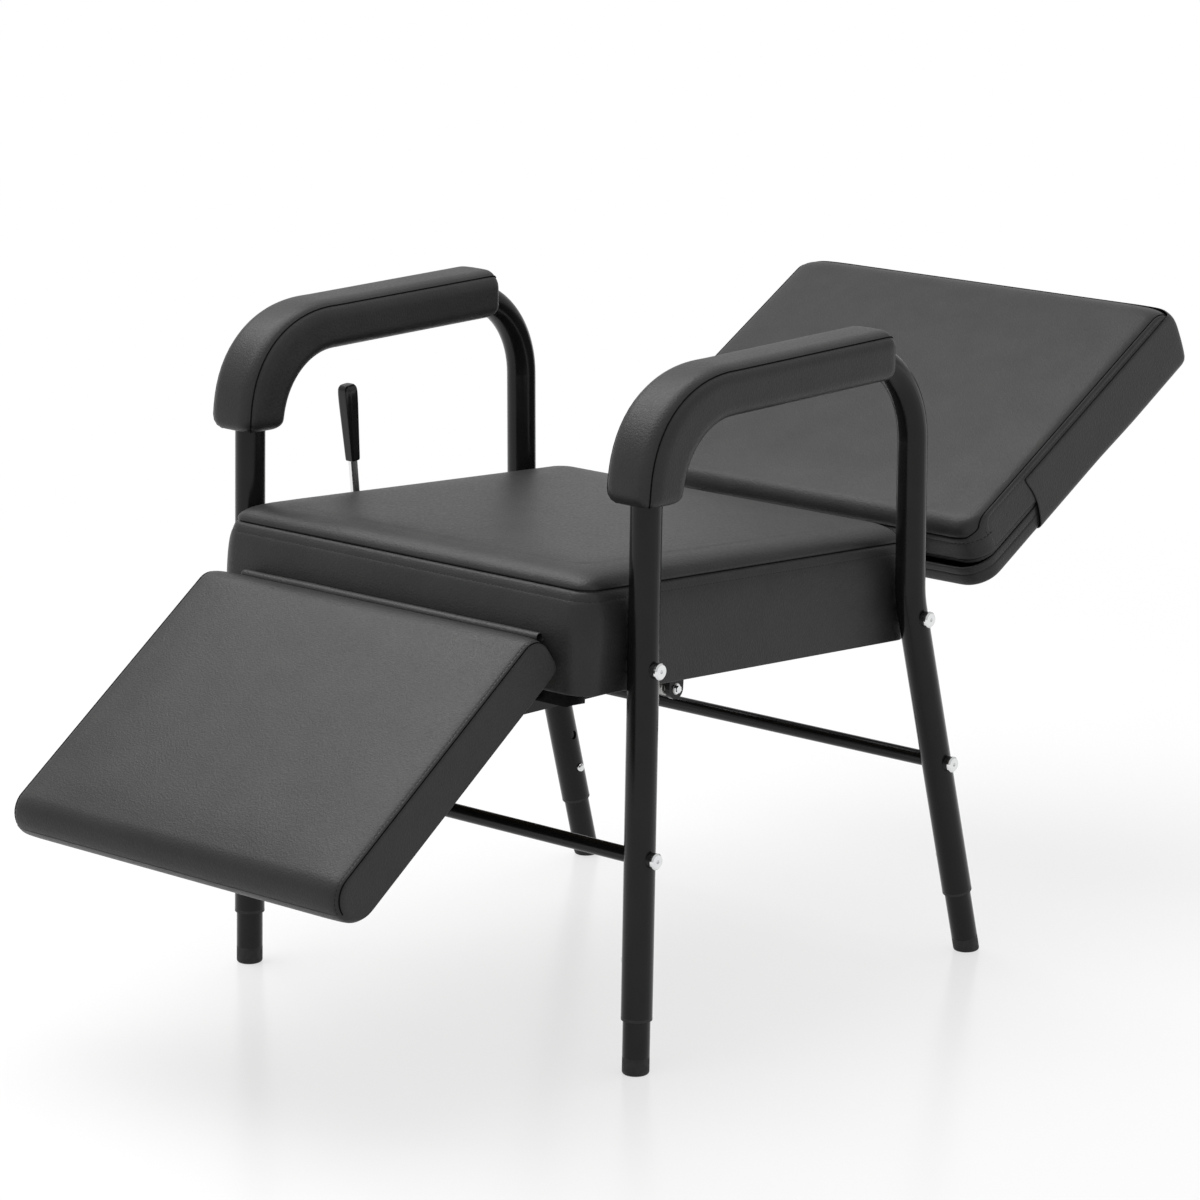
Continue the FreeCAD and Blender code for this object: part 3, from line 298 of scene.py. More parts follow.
def on_skin(pad, row):
    """Places and outward directions of a row of a pad's points."""
    pad.piece.data.update()
    return [(pad.piece.data.vertices[i].co / MM, pad.piece.data.vertices[i].normal.copy()) for i in row]


def stitching(name, lines):
    """Thread along lines of (place, outward direction): one small bead for each stitch."""
    points, faces = [], []
    for spots in lines:
        travelled, due = 0.0, STITCH_PITCH / 2
        for (start, normal), (end, _) in zip(spots, spots[1:]):
            length = (end - start).length
            along = (end - start).normalized()
            across = along.cross(normal).normalized()
            up = across.cross(along)
            while due <= travelled + length:
                bead(points, faces, start + along * (due - travelled), (along, across, up))
                due += STITCH_PITCH
            travelled += length
    return finish_piece(name, points, faces, CHAIR, THREAD)


def shade_cord(name, lines):
    """Painted shade along a seam: a thin near-black tube that stands for the dark line down in it, along lines of
    (place, outward direction).
    """
    points, faces = [], []
    for spots in lines:
        first = len(points)
        last = len(spots) - 1
        for k, (spot, normal) in enumerate(spots):
            along = (spots[min(k + 1, last)][0] - spots[max(k - 1, 0)][0]).normalized()
            across = along.cross(normal).normalized()
            up = across.cross(along)
            for turn in range(STITCH_SIDES):
                out = facing(math.tau * turn / STITCH_SIDES) * CORD_RADIUS
                points.append(spot + across * out.x + up * (out.y + CORD_RISE))
        for k in range(last):
            for turn in range(STITCH_SIDES):
                here = first + k * STITCH_SIDES + turn
                beside = first + k * STITCH_SIDES + (turn + 1) % STITCH_SIDES
                faces.append((here, beside, beside + STITCH_SIDES, here + STITCH_SIDES))
        ends = [range(first + STITCH_SIDES - 1, first - 1, -1),
                range(first + last * STITCH_SIDES, first + (last + 1) * STITCH_SIDES)]
        faces += [tuple(end) for end in ends]
    return finish_piece(name, points, faces, CHAIR, SEAM_SHADE)


def bead(points, faces, centre, axes):
    """One stitch: a small spindle along its thread."""
    first = len(points)
    along, across, up = (axis * half for axis, half in zip(axes, STITCH_HALF))
    points.append(centre - along)
    for place in (-STITCH_SHOULDER, STITCH_SHOULDER):
        for k in range(STITCH_SIDES):
            out = facing(math.tau * k / STITCH_SIDES)
            points.append(centre + along * place + across * out.x + up * out.y)
    points.append(centre + along)
    last = len(points) - 1
    for k in range(STITCH_SIDES):
        after = (k + 1) % STITCH_SIDES
        low, low_after = first + 1 + k, first + 1 + after
        faces.append((first, low_after, low))
        faces.append((low, low_after, low_after + STITCH_SIDES, low + STITCH_SIDES))
        faces.append((low + STITCH_SIDES, low_after + STITCH_SIDES, last))


# Materials
def add(tree, kind, sockets=(), **settings):
    """A shader node with its settings, its plain values and its links."""
    made = tree.nodes.new(kind)
    for key, value in settings.items():
        setattr(made, key, value)
    for key, value in dict(sockets).items():
        if isinstance(value, bpy.types.NodeSocket):
            tree.links.new(value, made.inputs[key])
        else:
            made.inputs[key].default_value = value
    return made


def surface(name, sockets):
    """A new material and its main shader."""
    material = bpy.data.materials.new(name)
    material.use_nodes = True
    shader = material.node_tree.nodes["Principled BSDF"]
    for key, value in sockets.items():
        shader.inputs[key].default_value = value
    return material, material.node_tree, shader


def object_spots(tree):
    return add(tree, "ShaderNodeTexCoord").outputs["Object"]


def stretched(tree, spots, scale):
    return add(tree, "ShaderNodeMapping", {"Vector": spots, "Scale": scale}).outputs["Vector"]


def mottle(tree, spots, scale, detail=3.0):
    sockets = {"Vector": spots, "Scale": scale, "Detail": detail}
    return add(tree, "ShaderNodeTexNoise", sockets).outputs["Fac"]


def sums(tree, operation, first, second):
    return add(tree, "ShaderNodeMath", {0: first, 1: second}, operation=operation).outputs["Value"]


NOISE_LOW = 0.3
NOISE_HIGH = 0.7


def roughen(tree, shader, value, low, high):
    """A noise value stretched over a range of roughness."""
    sockets = {"Value": value, "From Min": NOISE_LOW, "From Max": NOISE_HIGH,
               "To Min": low, "To Max": high}
    spread = add(tree, "ShaderNodeMapRange", sockets)
    tree.links.new(spread.outputs["Result"], shader.inputs["Roughness"])


def colour(tree, shader, value, dark, light):
    """A noise value turned into a colour between two shades."""
    ramp = add(tree, "ShaderNodeValToRGB", {"Fac": value})
    for element, position, shade in zip(ramp.color_ramp.elements, (NOISE_LOW, NOISE_HIGH), (dark, light)):
        element.position = position
        element.color = (*shade, 1)
    tree.links.new(ramp.outputs["Color"], shader.inputs["Base Color"])


def grey(shade):
    return (shade,) * 3


def relief(tree, shader, height, depth, strength):
    """Grain that only shades: a height, its depth in millimetres and how much of it shows."""
    sockets = {"Height": height, "Distance": depth * MM, "Strength": strength}
    tree.links.new(add(tree, "ShaderNodeBump", sockets).outputs["Normal"], shader.inputs["Normal"])


# Of each finish: its tones, its limits of roughness, its grain's depth and strength, and scales of noise
LEATHER_SPECULAR = 0.28
LEATHER_TONES = (0.0245, 0.0245, 0.025), (0.0375, 0.037, 0.0365)
LEATHER_ROUGH = (0.36, 0.46)
LEATHER_GRAIN = (0.35, 0.6)
LEATHER_PEBBLES = 480.0
LEATHER_CREASES = 560
LEATHER_CREASE_DETAIL = 4.0
LEATHER_WEAR = 26
LEATHER_SHEEN = 300


def leather():
    material, tree, shader = surface("black_leather", {"Specular IOR Level": LEATHER_SPECULAR})
    spots = object_spots(tree)
    sockets = {"Vector": spots, "Scale": LEATHER_PEBBLES}
    pebbles = add(tree, "ShaderNodeTexVoronoi", sockets, feature="SMOOTH_F1").outputs["Distance"]
    creases = mottle(tree, spots, LEATHER_CREASES, LEATHER_CREASE_DETAIL)
    wear = mottle(tree, spots, LEATHER_WEAR)
    colour(tree, shader, sums(tree, "MULTIPLY", sums(tree, "ADD", wear, creases), 0.5), *LEATHER_TONES)
    roughen(tree, shader, mottle(tree, spots, LEATHER_SHEEN), *LEATHER_ROUGH)
    relief(tree, shader, sums(tree, "ADD", pebbles, creases), *LEATHER_GRAIN)
    return material


# Painted shade: near-black tones for the thin tubes that stand for the shade down in each seam
SEAM_LOOK = {"Specular IOR Level": 0.05, "Roughness": 0.8}
SEAM_SHADE_TONES = grey(0.003), grey(0.007)
SEAM_PATCHES = 400


def seam_shade():
    """The shade between two panels of leather, down in a seam."""
    material, tree, shader = surface("seam_shadow", SEAM_LOOK)
    colour(tree, shader, mottle(tree, object_spots(tree), SEAM_PATCHES), *SEAM_SHADE_TONES)
    return material


THREAD_LOOK = {"Specular IOR Level": 0.2, "Roughness": 0.6}
THREAD_TONES = grey(0.012), grey(0.03)
THREAD_TWIST = {"Scale": 700.0, "Distortion": 2.0}


def thread():
    material, tree, shader = surface("black_thread", THREAD_LOOK)
    sockets = {"Vector": object_spots(tree), **THREAD_TWIST}
    twist = add(tree, "ShaderNodeTexWave", sockets, bands_direction="DIAGONAL")
    colour(tree, shader, twist.outputs["Fac"], *THREAD_TONES)
    return material


PAINT_SPECULAR = 0.24
PAINT_TONES = grey(0.006), grey(0.009)
PAINT_ROUGH = (0.18, 0.24)
PAINT_PATCHES = 30
PAINT_SMEARS = 90


def paint():
    material, tree, shader = surface("black_paint", {"Specular IOR Level": PAINT_SPECULAR})
    spots = object_spots(tree)
    colour(tree, shader, mottle(tree, spots, PAINT_PATCHES), *PAINT_TONES)
    roughen(tree, shader, mottle(tree, spots, PAINT_SMEARS), *PAINT_ROUGH)
    return material


CHROME_TONES = (0.72, 0.73, 0.74), grey(0.8)
CHROME_ROUGH = (0.06, 0.16)
CHROME_PATCHES = 60
CHROME_SMEARS = 300


def chrome():
    material, tree, shader = surface("chrome", {"Metallic": 1.0})
    spots = object_spots(tree)
    colour(tree, shader, mottle(tree, spots, CHROME_PATCHES), *CHROME_TONES)
    roughen(tree, shader, mottle(tree, spots, CHROME_SMEARS), *CHROME_ROUGH)
    return material


STEEL_TONES = (0.4, 0.4, 0.39), (0.52, 0.52, 0.5)
STEEL_ROUGH = (0.28, 0.45)
STEEL_PATCHES = 80
STEEL_STRETCH = (4.0, 1.0, 1.0)
STEEL_STROKES = 350


def steel():
    material, tree, shader = surface("steel", {"Metallic": 1.0})
    spots = object_spots(tree)
    brushed = stretched(tree, spots, STEEL_STRETCH)
    colour(tree, shader, mottle(tree, spots, STEEL_PATCHES), *STEEL_TONES)
    roughen(tree, shader, mottle(tree, brushed, STEEL_STROKES), *STEEL_ROUGH)
    return material


WOOD_SPECULAR = 0.25
WOOD_TONES = (0.32, 0.2, 0.11), (0.5, 0.34, 0.2)
WOOD_ROUGH = (0.55, 0.75)
WOOD_GRAIN = (0.1, 0.4)
WOOD_STRETCH = (1.0, 9.0, 9.0)
WOOD_BANDS = 22
WOOD_BAND_DETAIL = 6.0
WOOD_PATCHES = 120
WOOD_FIBRES = 90
WOOD_FIBRE_DETAIL = 4.0


def wood():
    material, tree, shader = surface("plywood", {"Specular IOR Level": WOOD_SPECULAR})
    spots = object_spots(tree)
    drawn = stretched(tree, spots, WOOD_STRETCH)
    colour(tree, shader, mottle(tree, drawn, WOOD_BANDS, WOOD_BAND_DETAIL), *WOOD_TONES)
    roughen(tree, shader, mottle(tree, spots, WOOD_PATCHES), *WOOD_ROUGH)
    relief(tree, shader, mottle(tree, drawn, WOOD_FIBRES, WOOD_FIBRE_DETAIL), *WOOD_GRAIN)
    return material


PLASTIC_SPECULAR = 0.4
PLASTIC_DARK = 0.8
PLASTIC_LIGHT = 1.2
PLASTIC_PATCHES = 40
PLASTIC_SMEARS = 200
PLASTIC_PITS = 1500
PLASTIC_PIT_DETAIL = 2.0
PLASTIC_GRAIN_STRENGTH = 0.4


def plastic(name, shade, rough, grain):
    """Moulded plastic or rubber: a shade, a roughness range and the depth of its grain."""
    material, tree, shader = surface(name, {"Specular IOR Level": PLASTIC_SPECULAR})
    spots = object_spots(tree)
    tones = grey(shade * PLASTIC_DARK), grey(shade * PLASTIC_LIGHT)
    colour(tree, shader, mottle(tree, spots, PLASTIC_PATCHES), *tones)
    roughen(tree, shader, mottle(tree, spots, PLASTIC_SMEARS), *rough)
    pits = mottle(tree, spots, PLASTIC_PITS, PLASTIC_PIT_DETAIL)
    relief(tree, shader, pits, grain, PLASTIC_GRAIN_STRENGTH)
    return material


FINISHES = {
    "black_leather": leather(),
    "black_paint": paint(),
    "chrome": chrome(),
    "steel": steel(),
    "wood": wood(),
    "black_plastic": plastic("black_plastic", shade=0.012, rough=(0.4, 0.55), grain=0.08),
    "grip_plastic": plastic("grip_plastic", shade=0.008, rough=(0.16, 0.24), grain=0.01),
    "foot_rubber": plastic("foot_rubber", shade=0.015, rough=(0.5, 0.7), grain=0.1),
}
THREAD = thread()
SEAM_SHADE = seam_shade()
LEATHER = FINISHES["black_leather"]


def finish_frame():
    for part in frame["record"]["subparts"]:
        shown = frame["nodes"][part["node"]]
        shown.data.materials.clear()
        shown.data.materials.append(FINISHES[part["material_slot"]])


def fit_soft(piece, body, *nodes):
    """A leather piece that stands for soft solids and moves with their body."""
    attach(piece, body)
    if nodes:
        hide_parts(*nodes)


# Rows of points along the large panels
STEP = 8.0


# Seat
SEAT_GRID = Grid(even(58), even(60))
SEAT_FRONT_CORNER = 26
SEAT_REAR_CORNER = 14
SEAT_SEAM = 104
SEAT_STITCH = 94.4
SEAT_SKIRT = [(52.3, 7.7), (25, 7.7), (0.5, 7.7), (0, 7.2), (0, 3.5), (0, 1.4), (0.5, 0.5), (1.6, 0.1),
              (5, -0.1)]
SEAT_SIDE = [(14, -0.6), (28, -1.6), (44, -2.2), (60, -2.2), (74, -1.6), (84, -0.5), (90, 0.8),
             (93.2, 1.9), (SEAT_STITCH, 3), (95.6, 2.8), (99, 4.1), (101.6, 5.4), (103, 6.9),
             (SEAT_SEAM, 9.2), (104.9, 7.6), (106.4, 7.1)]
SEAT_HELD_RINGS = 3
SEAT_ROLL_WIDE = 30
SEAT_ROLL_STEPS = 7
SEAT_REAR_ROLL = 0.4
SEAT_CORNER_EASE = 0.5
SEAT_TOP_SLACK = 1
SEAT_DOME = 3
SEAT_SWELL = 1.5


def seat_ring(wide, deep, depth):
    """The cushion's outline, set in by a depth: its corners sharpen up to the seam and open out above."""
    edge = SEAT_SIDE[-1][1]
    rolled = max(0.0, depth - edge)
    rear = depth - (1 - SEAT_REAR_ROLL) * rolled
    ease = SEAT_CORNER_EASE * rolled - min(depth, edge)
    radii = (SEAT_FRONT_CORNER + ease,) * 2 + (SEAT_REAR_CORNER + SEAT_REAR_ROLL * ease,) * 2
    a = (wide[0] + depth, wide[1] - depth)
    b = (deep[0] + depth, deep[1] - rear)
    return grooved(section(a, b, radii, SEAT_GRID), {})


def upholster_seat():
    wide, deep, high = extent("seat_cushion", SEAT)
    start, edge = SEAT_SIDE[-1]
    rise = high[1] - SEAT_TOP_SLACK - start
    roll = []
    for k in range(1, SEAT_ROLL_STEPS + 1):
        turn = math.pi / 2 * k / SEAT_ROLL_STEPS
        roll.append((start + rise * math.sin(turn), edge + SEAT_ROLL_WIDE * (1 - math.cos(turn))))
    profile = SEAT_SKIRT + SEAT_SIDE + roll
    rings = [(height, seat_ring(wide, deep, depth)) for height, depth in profile]
    pad = loft("seat_leather", SEAT, SEAT_GRID, rings, LEATHER, top=dome(SEAT_DOME, wide, deep))
    heights = [height for height, _ in profile]
    seam = heights.index(SEAT_SEAM)
    stitch = heights.index(SEAT_STITCH)
    free = pad.loops[len(SEAT_SKIRT):stitch - 1] + pad.loops[seam + SEAT_HELD_RINGS:]
    swell(pad, {i for loop in free for i in loop} | set(pad.top), SEAT_SWELL)
    lines = [on_skin(pad, pad.loops[k] + pad.loops[k][:1]) for k in (seam, stitch)]
    smooth(pad.piece)
    fit_soft(pad.piece, "chair_frame", "seat_cushion")
    fit_soft(shade_cord("seat_seam", lines[:1]), "chair_frame")
    fit_soft(stitching("seat_stitches", lines[1:]), "chair_frame")


# Backrest: its side view, carried across the chair
BACK_SEAM_X = 255
BACK_STITCH_X = 257.4
BACK_EDGE = [(258, 24, 10), (258, 14.4, 2.4), (BACK_STITCH_X, 13.4, 2), (258, 12.4, 1.8),
             (258, 10.4, 1.2), (257.8, 8.8, 0.5), (257.2, 7.6, 0.1), (256.5, 7, 0), (255.7, 6.8, 0),
             (BACK_SEAM_X, 7.2, 0), (254.2, 6.3, 0), (252.6, 5, 0), (249.5, 3.5, 0), (245, 2.3, 0),
             (239, 1.3, 0), (231, 0.7, 0), (221, 0.3, 0), (210, 0.1, 0)]
BACK_FREE_RINGS = 3
BACK_STEPS = 25
BACK_MIDDLE = [(STEP * k, 0, 0) for k in range(-BACK_STEPS, BACK_STEPS + 1)]
BACK_GRID = Grid(even(46), [0, 0.27, 0.53, 0.72, 0.745, 0.77, 0.93, 0.965])
BACK_STITCH_STOP = 4
BACK_TURN = 4
BACK_CORNER = 28
BACK_REAR_CORNERS = (4, 8)
BACK_NOSE = 36
BACK_NOSE_LEAST = 8
BACK_LIP = 20
BACK_LIP_EASE = 0.6
BACK_LIP_LEAST = 3
BACK_SEAM_DEPTH = 1.4
BACK_TURN_DEPTH = 1.0
BACK_STITCH_DEPTH = 0.6
BACK_SWELL = 3


def sideways(point):
    """A section in the side view, with its height across the chair."""
    return Vector((point.z, point.x, point.y))


def corner_rise(x, half, radius):
    """How far a round corner has risen at a distance from the middle."""
    reach = max(0.0, abs(x) - half + radius)
    return radius - math.sqrt(max(0.0, radius ** 2 - reach ** 2))


def upholster_back():
    wide, tall, deep = extent("back_cushion", BACK)
    half = wide[1]
    low_end = side_start(BACK_GRID, 3)
    rings = []
    profile = [(-x, front, rear) for x, front, rear in BACK_EDGE] + BACK_MIDDLE + BACK_EDGE[::-1]
    xs = [x for x, _, _ in profile]
    bend = [abs(xs[xs.index(-BACK_SEAM_X) + k]) for k in range(BACK_TURN + 1)]
    for x, front, rear in profile:
        a = (tall[0] + corner_rise(x, half, BACK_CORNER) + rear, tall[1] - front)
        b = (deep[0] + rear, deep[1] - front)
        nose = max(BACK_NOSE - front, BACK_NOSE_LEAST)
        lip = max(BACK_LIP - BACK_LIP_EASE * front, BACK_LIP_LEAST)
        radii = (*BACK_REAR_CORNERS, nose, lip)
        depths = {low_end + BACK_STITCH_STOP: BACK_STITCH_DEPTH if abs(x) < BACK_STITCH_X else 0,
                  low_end: BACK_SEAM_DEPTH if abs(x) <= bend[-1] else 0}
        if abs(x) in bend[1:-1]:
            depths[low_end - BACK_TURN + bend.index(abs(x))] = BACK_TURN_DEPTH
        rings.append((x, grooved(section(a, b, radii, BACK_GRID), depths)))
    pad = loft("back_leather", BACK, BACK_GRID, rings, LEATHER, turn=sideways)
    edges = len(BACK_EDGE) - BACK_FREE_RINGS
    free = {loop[i] for loop in pad.loops[edges:-edges] for i in third_side(BACK_GRID)}
    swell(pad, free, BACK_SWELL)
    top_end = side_start(BACK_GRID, 1)
    lines = []
    seam = BACK_SEAM_X, low_end, BACK_TURN
    stitch = BACK_STITCH_X, low_end + BACK_STITCH_STOP, 0
    for edge, stop, turn in (seam, stitch):
        first, last = xs.index(-edge), xs.index(edge)
        side = range(top_end, stop - turn)
        row = [pad.loops[first][i] for i in side]
        row += [pad.loops[first + k][stop - turn + k] for k in range(turn)]
        row += [loop[stop] for loop in pad.loops[first + turn:last + 1 - turn]]
        row += [pad.loops[last - k][stop - turn + k] for k in reversed(range(turn))]
        row += [pad.loops[last][i] for i in reversed(side)]
        lines.append(on_skin(pad, row))
    smooth(pad.piece)
    fit_soft(pad.piece, "backrest", "back_cushion")
    fit_soft(shade_cord("back_seam_shade", lines[:1]), "backrest")
    fit_soft(stitching("back_stitches", lines[1:]), "backrest")


PANEL_GRID = Grid(even(60), even(50))
COVER_RIM = [(4, 8), (4.2, 4.4), (14, 4), (25.6, 4), (26.8, 3.2), (27, 2), (26.7, 0.6), (25.8, 0.1),
             (24, 0), (19.2, 0), (18.2, 0.2), (17.4, 1.2), (16.6, 0.2), (15.6, 0), (8, 0), (4, 0.6),
             (1.8, 1.8), (0.6, 3.6), (0, 6.5)]
COVER_CORNERS = (32, 32, 14, 14)


def cover_back():
    """The rear pan in leather: a hollow skin with a rounded rim."""
    wide, tall, deep = extent("back_cover", BACK)
    rings = [(deep[0] + height, inset(wide, tall, COVER_CORNERS, depth, PANEL_GRID))
             for height, depth in reversed(COVER_RIM)]
    pad = loft("back_cover_leather", BACK, PANEL_GRID, rings, LEATHER)
    smooth(pad.piece)
    fit_soft(pad.piece, "backrest", "back_cover")


WRAP_RIM = [(0.4, 9), (0.4, 4), (0.8, 3.2), (2, 2.8), (4, 2.8), (5.2, 3.2), (5.6, 4), (5.6, 9)]
WRAP_CORNERS = (28, 28, 12, 12)


def wrap_board():
    """The leather turned round the edges of the backrest's board."""
    wide, tall, _ = extent("back_cushion", BACK)
    low = extent("back_board", BACK)[2][0]
    rings = [(low + height, inset(wide, tall, WRAP_CORNERS, depth, PANEL_GRID))
             for height, depth in WRAP_RIM]
    pad = loft("back_board_leather", BACK, PANEL_GRID, rings, LEATHER)
    smooth(pad.piece)
    fit_soft(pad.piece, "backrest")


SLEEVE_THICK = 1.3
SLEEVE_GAP = 0.9
SLEEVE_SAG = 2.4
SLEEVE_SAG_FROM = 300
SLEEVE_SAG_RUN = 100
SLEEVE_FRONT = 9.5
SLEEVE_CORNER = 9
SLEEVE_TOP_CORNER = 10
SLEEVE_SHOULDER = [(210, 0.1), (221, 0.3), (231, 0.7), (239, 1.3), (245, 2.3), (249.5, 3.5), (252.6, 5),
                   (254.2, 6), (256.4, 7.2), (257.6, 8.6), (258.4, 10), (259, 12)]
SLEEVE_BULGE = 4
SLEEVE_ROWS = 40
SLEEVE_SIDE_STEPS = 8
SLEEVE_HEM = 5
HEM_FOLD = 0.01
HEM_SEWN = 2
HEM_Y = 192
HEM_BOW = 6.5
HEM_BOW_MIDDLE = -24
HEM_BOW_WIDE = 62
SLEEVE_OVER = (0.05, 0.11, 0.18, 0.27, 0.38, 0.52, 0.75, 1.0)


def sleeve_path(half, rear):
    """The sleeve's way round one side and half the rear, from its front edge to the middle: X and Z."""
    path = [Vector((half, SLEEVE_FRONT - STEP * k)) for k in range(SLEEVE_SIDE_STEPS)]
    centre = Vector((half - SLEEVE_CORNER, rear + SLEEVE_CORNER))
    for k in range(ARC_STEPS + 1):
        path.append(centre + facing(-math.pi / 2 * k / ARC_STEPS) * SLEEVE_CORNER)
    count = round(centre.x / STEP)
    return path + [Vector((centre.x * (1 - k / count), rear)) for k in range(1, count + 1)]


def sleeve_hem(spot, half):
    """The hem's height: bowed across the sides, level across the rear."""
    if spot.x <= half - SLEEVE_CORNER:
        return HEM_Y
    return HEM_Y + max(0.0, HEM_BOW * math.cos(math.pi * (spot.y - HEM_BOW_MIDDLE) / HEM_BOW_WIDE))


def arch(radius, distance):
    """How far a round edge drops at a distance from its outer side."""
    return radius - math.sqrt(max(0.0, radius ** 2 - max(0.0, radius - distance) ** 2))


def shoulder(x):
    """How far the sleeve's end drops towards the sides."""
    for (near, low), (far, high) in zip(SLEEVE_SHOULDER, SLEEVE_SHOULDER[1:]):
        if near <= x <= far:
            return low + (high - low) * (x - near) / (far - near)
    return 0.0


def sleeve_top(spot, rear, front, top):
    """The height of the sleeve's closed end: round the nose, the rear corner and the shoulders."""
    drop = shoulder(spot.x)
    nose = arch(BACK_NOSE - drop, front - drop - spot.y)
    middle, reach = (front + rear) / 2, (front - rear) / 2
    bulge = SLEEVE_BULGE * (1 - ((spot.y - middle) / reach) ** 2)
    return top + bulge - drop - nose - arch(SLEEVE_TOP_CORNER, spot.y - rear)


def sagged(point, rear):
    """A point of the sleeve, further out behind the screws of the cover."""
    rise = min(1.0, max(0.0, (point.y - SLEEVE_SAG_FROM) / SLEEVE_SAG_RUN))
    share = (SLEEVE_FRONT - point.z) / (SLEEVE_FRONT - rear)
    return point - Vector((0, 0, SLEEVE_SAG * share * rise ** 2 * (3 - 2 * rise)))


def sleeve_back():
    """The loose leather cover drawn over the upper end of the backrest, down to a hem."""
    wide, tall, deep = extent("back_cushion", BACK)
    rear = extent("back_cover", BACK)[2][0] - SLEEVE_GAP
    half = wide[1] + SLEEVE_GAP
    front, top = deep[1] + SLEEVE_GAP, tall[1] + SLEEVE_GAP
    path = sleeve_path(half, rear)
    shares = [step / SLEEVE_ROWS for step in range(1, SLEEVE_ROWS + 1)]
    rows = []
    for k, spot in enumerate(path):
        low, high = sleeve_hem(spot, half), sleeve_top(spot, rear, front, top)
        stops = [0, HEM_FOLD, SLEEVE_HEM / (high - low)] + shares
        row = [Vector((spot.x, low + (high - low) * stop, spot.y)) for stop in stops]
        target = Vector((half * (1 - (k + 1) / len(path)), SLEEVE_FRONT))
        for share in SLEEVE_OVER:
            over = spot.lerp(target, share)
            row.append(Vector((over.x, sleeve_top(over, rear, front, top), over.y)))
        rows.append([sagged(point, rear) for point in row])
    rows += [[Vector((-point.x, point.y, point.z)) for point in row] for row in reversed(rows[:-1])]
    piece = sheet("back_sleeve", rows, BACK, LEATHER, SLEEVE_THICK)
    skin = Pad(piece, [], [])
    long = len(rows[0])
    hem = range(HEM_SEWN, len(rows) * long, long)
    sides = (long, (len(rows) - 2) * long)
    edges = [range(first + HEM_SEWN, first + SLEEVE_ROWS) for first in sides]
    lines = [on_skin(skin, row) for row in (hem, *edges)]
    smooth(piece)
    fit_soft(piece, "backrest")
    sewing = stitching("back_sleeve_stitches", lines)
    fit_soft(sewing, "backrest")


# Legrest
LEGREST_SEAM_X = 228.2
LEGREST_STITCH_X = 225
LEGREST_EDGE = [(230, 9), (229.9, 7), (229.5, 6), (228.9, 5.5), (LEGREST_SEAM_X, 5.6), (227.5, 4.8),
                (226.4, 3.9), (225.5, 3.3), (LEGREST_STITCH_X, 3.6), (224.3, 2.7), (221, 1.8), (216, 1),
                (209, 0.5), (200, 0.1)]
LEGREST_STEPS = 24
LEGREST_MIDDLE = [(STEP * k, 0) for k in range(-LEGREST_STEPS, LEGREST_STEPS + 1)]
LEGREST_GRID = Grid(even(42), even(3))
LEGREST_CORNERS = (32, 18, 28, 28)
LEGREST_TOE_SLACK = 2
LEGREST_TOE_CORNER = 7
LEGREST_END_SHARE = 0.6
LEGREST_BASE_SHARE = 0.3
LEGREST_SWELL = 2


def upholster_legrest():
    wide, long, high = extent("legrest_cushion", LEGREST)
    profile = [(-x, depth) for x, depth in LEGREST_EDGE] + LEGREST_MIDDLE + LEGREST_EDGE[::-1]
    rings = []
    for x, depth in profile:
        radii = [corner - depth for corner in LEGREST_CORNERS]
        toe = LEGREST_TOE_SLACK + corner_rise(x, wide[1], LEGREST_TOE_CORNER)
        a = (long[0] + toe + LEGREST_END_SHARE * depth, long[1] - LEGREST_END_SHARE * depth)
        b = (high[0] + LEGREST_BASE_SHARE * depth, high[1] - depth)
        rings.append((x, grooved(section(a, b, radii, LEGREST_GRID), {})))
    pad = loft("legrest_leather", LEGREST, LEGREST_GRID, rings, LEATHER, turn=sideways)
    edges = len(LEGREST_EDGE)
    free = {loop[i] for loop in pad.loops[edges:-edges] for i in third_side(LEGREST_GRID)}
    swell(pad, free, LEGREST_SWELL)
    xs = [x for x, _ in profile]
    around = slice(side_start(LEGREST_GRID, 1), side_start(LEGREST_GRID, 3) + len(LEGREST_GRID.along))
    lines = {}
    for edge in (LEGREST_SEAM_X, LEGREST_STITCH_X):
        lines[edge] = [on_skin(pad, pad.loops[xs.index(x)][around]) for x in (-edge, edge)]
    smooth(pad.piece)
    fit_soft(pad.piece, "legrest", "legrest_cushion")
    fit_soft(shade_cord("legrest_seam_shades", lines[LEGREST_SEAM_X]), "legrest")
    fit_soft(stitching("legrest_stitches", lines[LEGREST_STITCH_X]), "legrest")


FLAP_THICK = 1.4
FLAP_COLUMNS = 53
FLAP_RADIUS = 5.2
FLAP_WAVE = 0.5
FLAP_WAVE_LONG = 70
FLAP_WAVE_DRAW = 3
FLAP_FROM = 200
FLAP_TURN = 18
FLAP_STEPS = 17
FLAP_SEWN = (8.5, 40)
FLAP_BEND = (13, 39.6)


def roll_flap():
    """The strip of leather sewn along the legrest's upper end, rolled into a loose loop."""
    wide, long, high = extent("legrest_roll", LEGREST)
    half = wide[1]
    centre = Vector(((long[0] + long[1]) / 2, (high[0] + high[1]) / 2))
    turns = [facing(math.radians(FLAP_FROM - FLAP_TURN * step)) for step in range(FLAP_STEPS)]
    rows = []
    for k in range(FLAP_COLUMNS):
        x = half * (2 * k / (FLAP_COLUMNS - 1) - 1)
        wave = FLAP_WAVE * noise.noise(Vector((x / FLAP_WAVE_LONG, FLAP_WAVE_DRAW, 0)))
        radius = FLAP_RADIUS + wave
        sewn = (x, FLAP_SEWN[0], FLAP_SEWN[1] + wave)
        rows.append([sewn, (x, *FLAP_BEND)] + [(x, *(centre + turn * radius)) for turn in turns])
    piece = sheet("legrest_flap", rows, LEGREST, LEATHER, FLAP_THICK)
    smooth(piece)
    fit_soft(piece, "legrest", "legrest_roll")


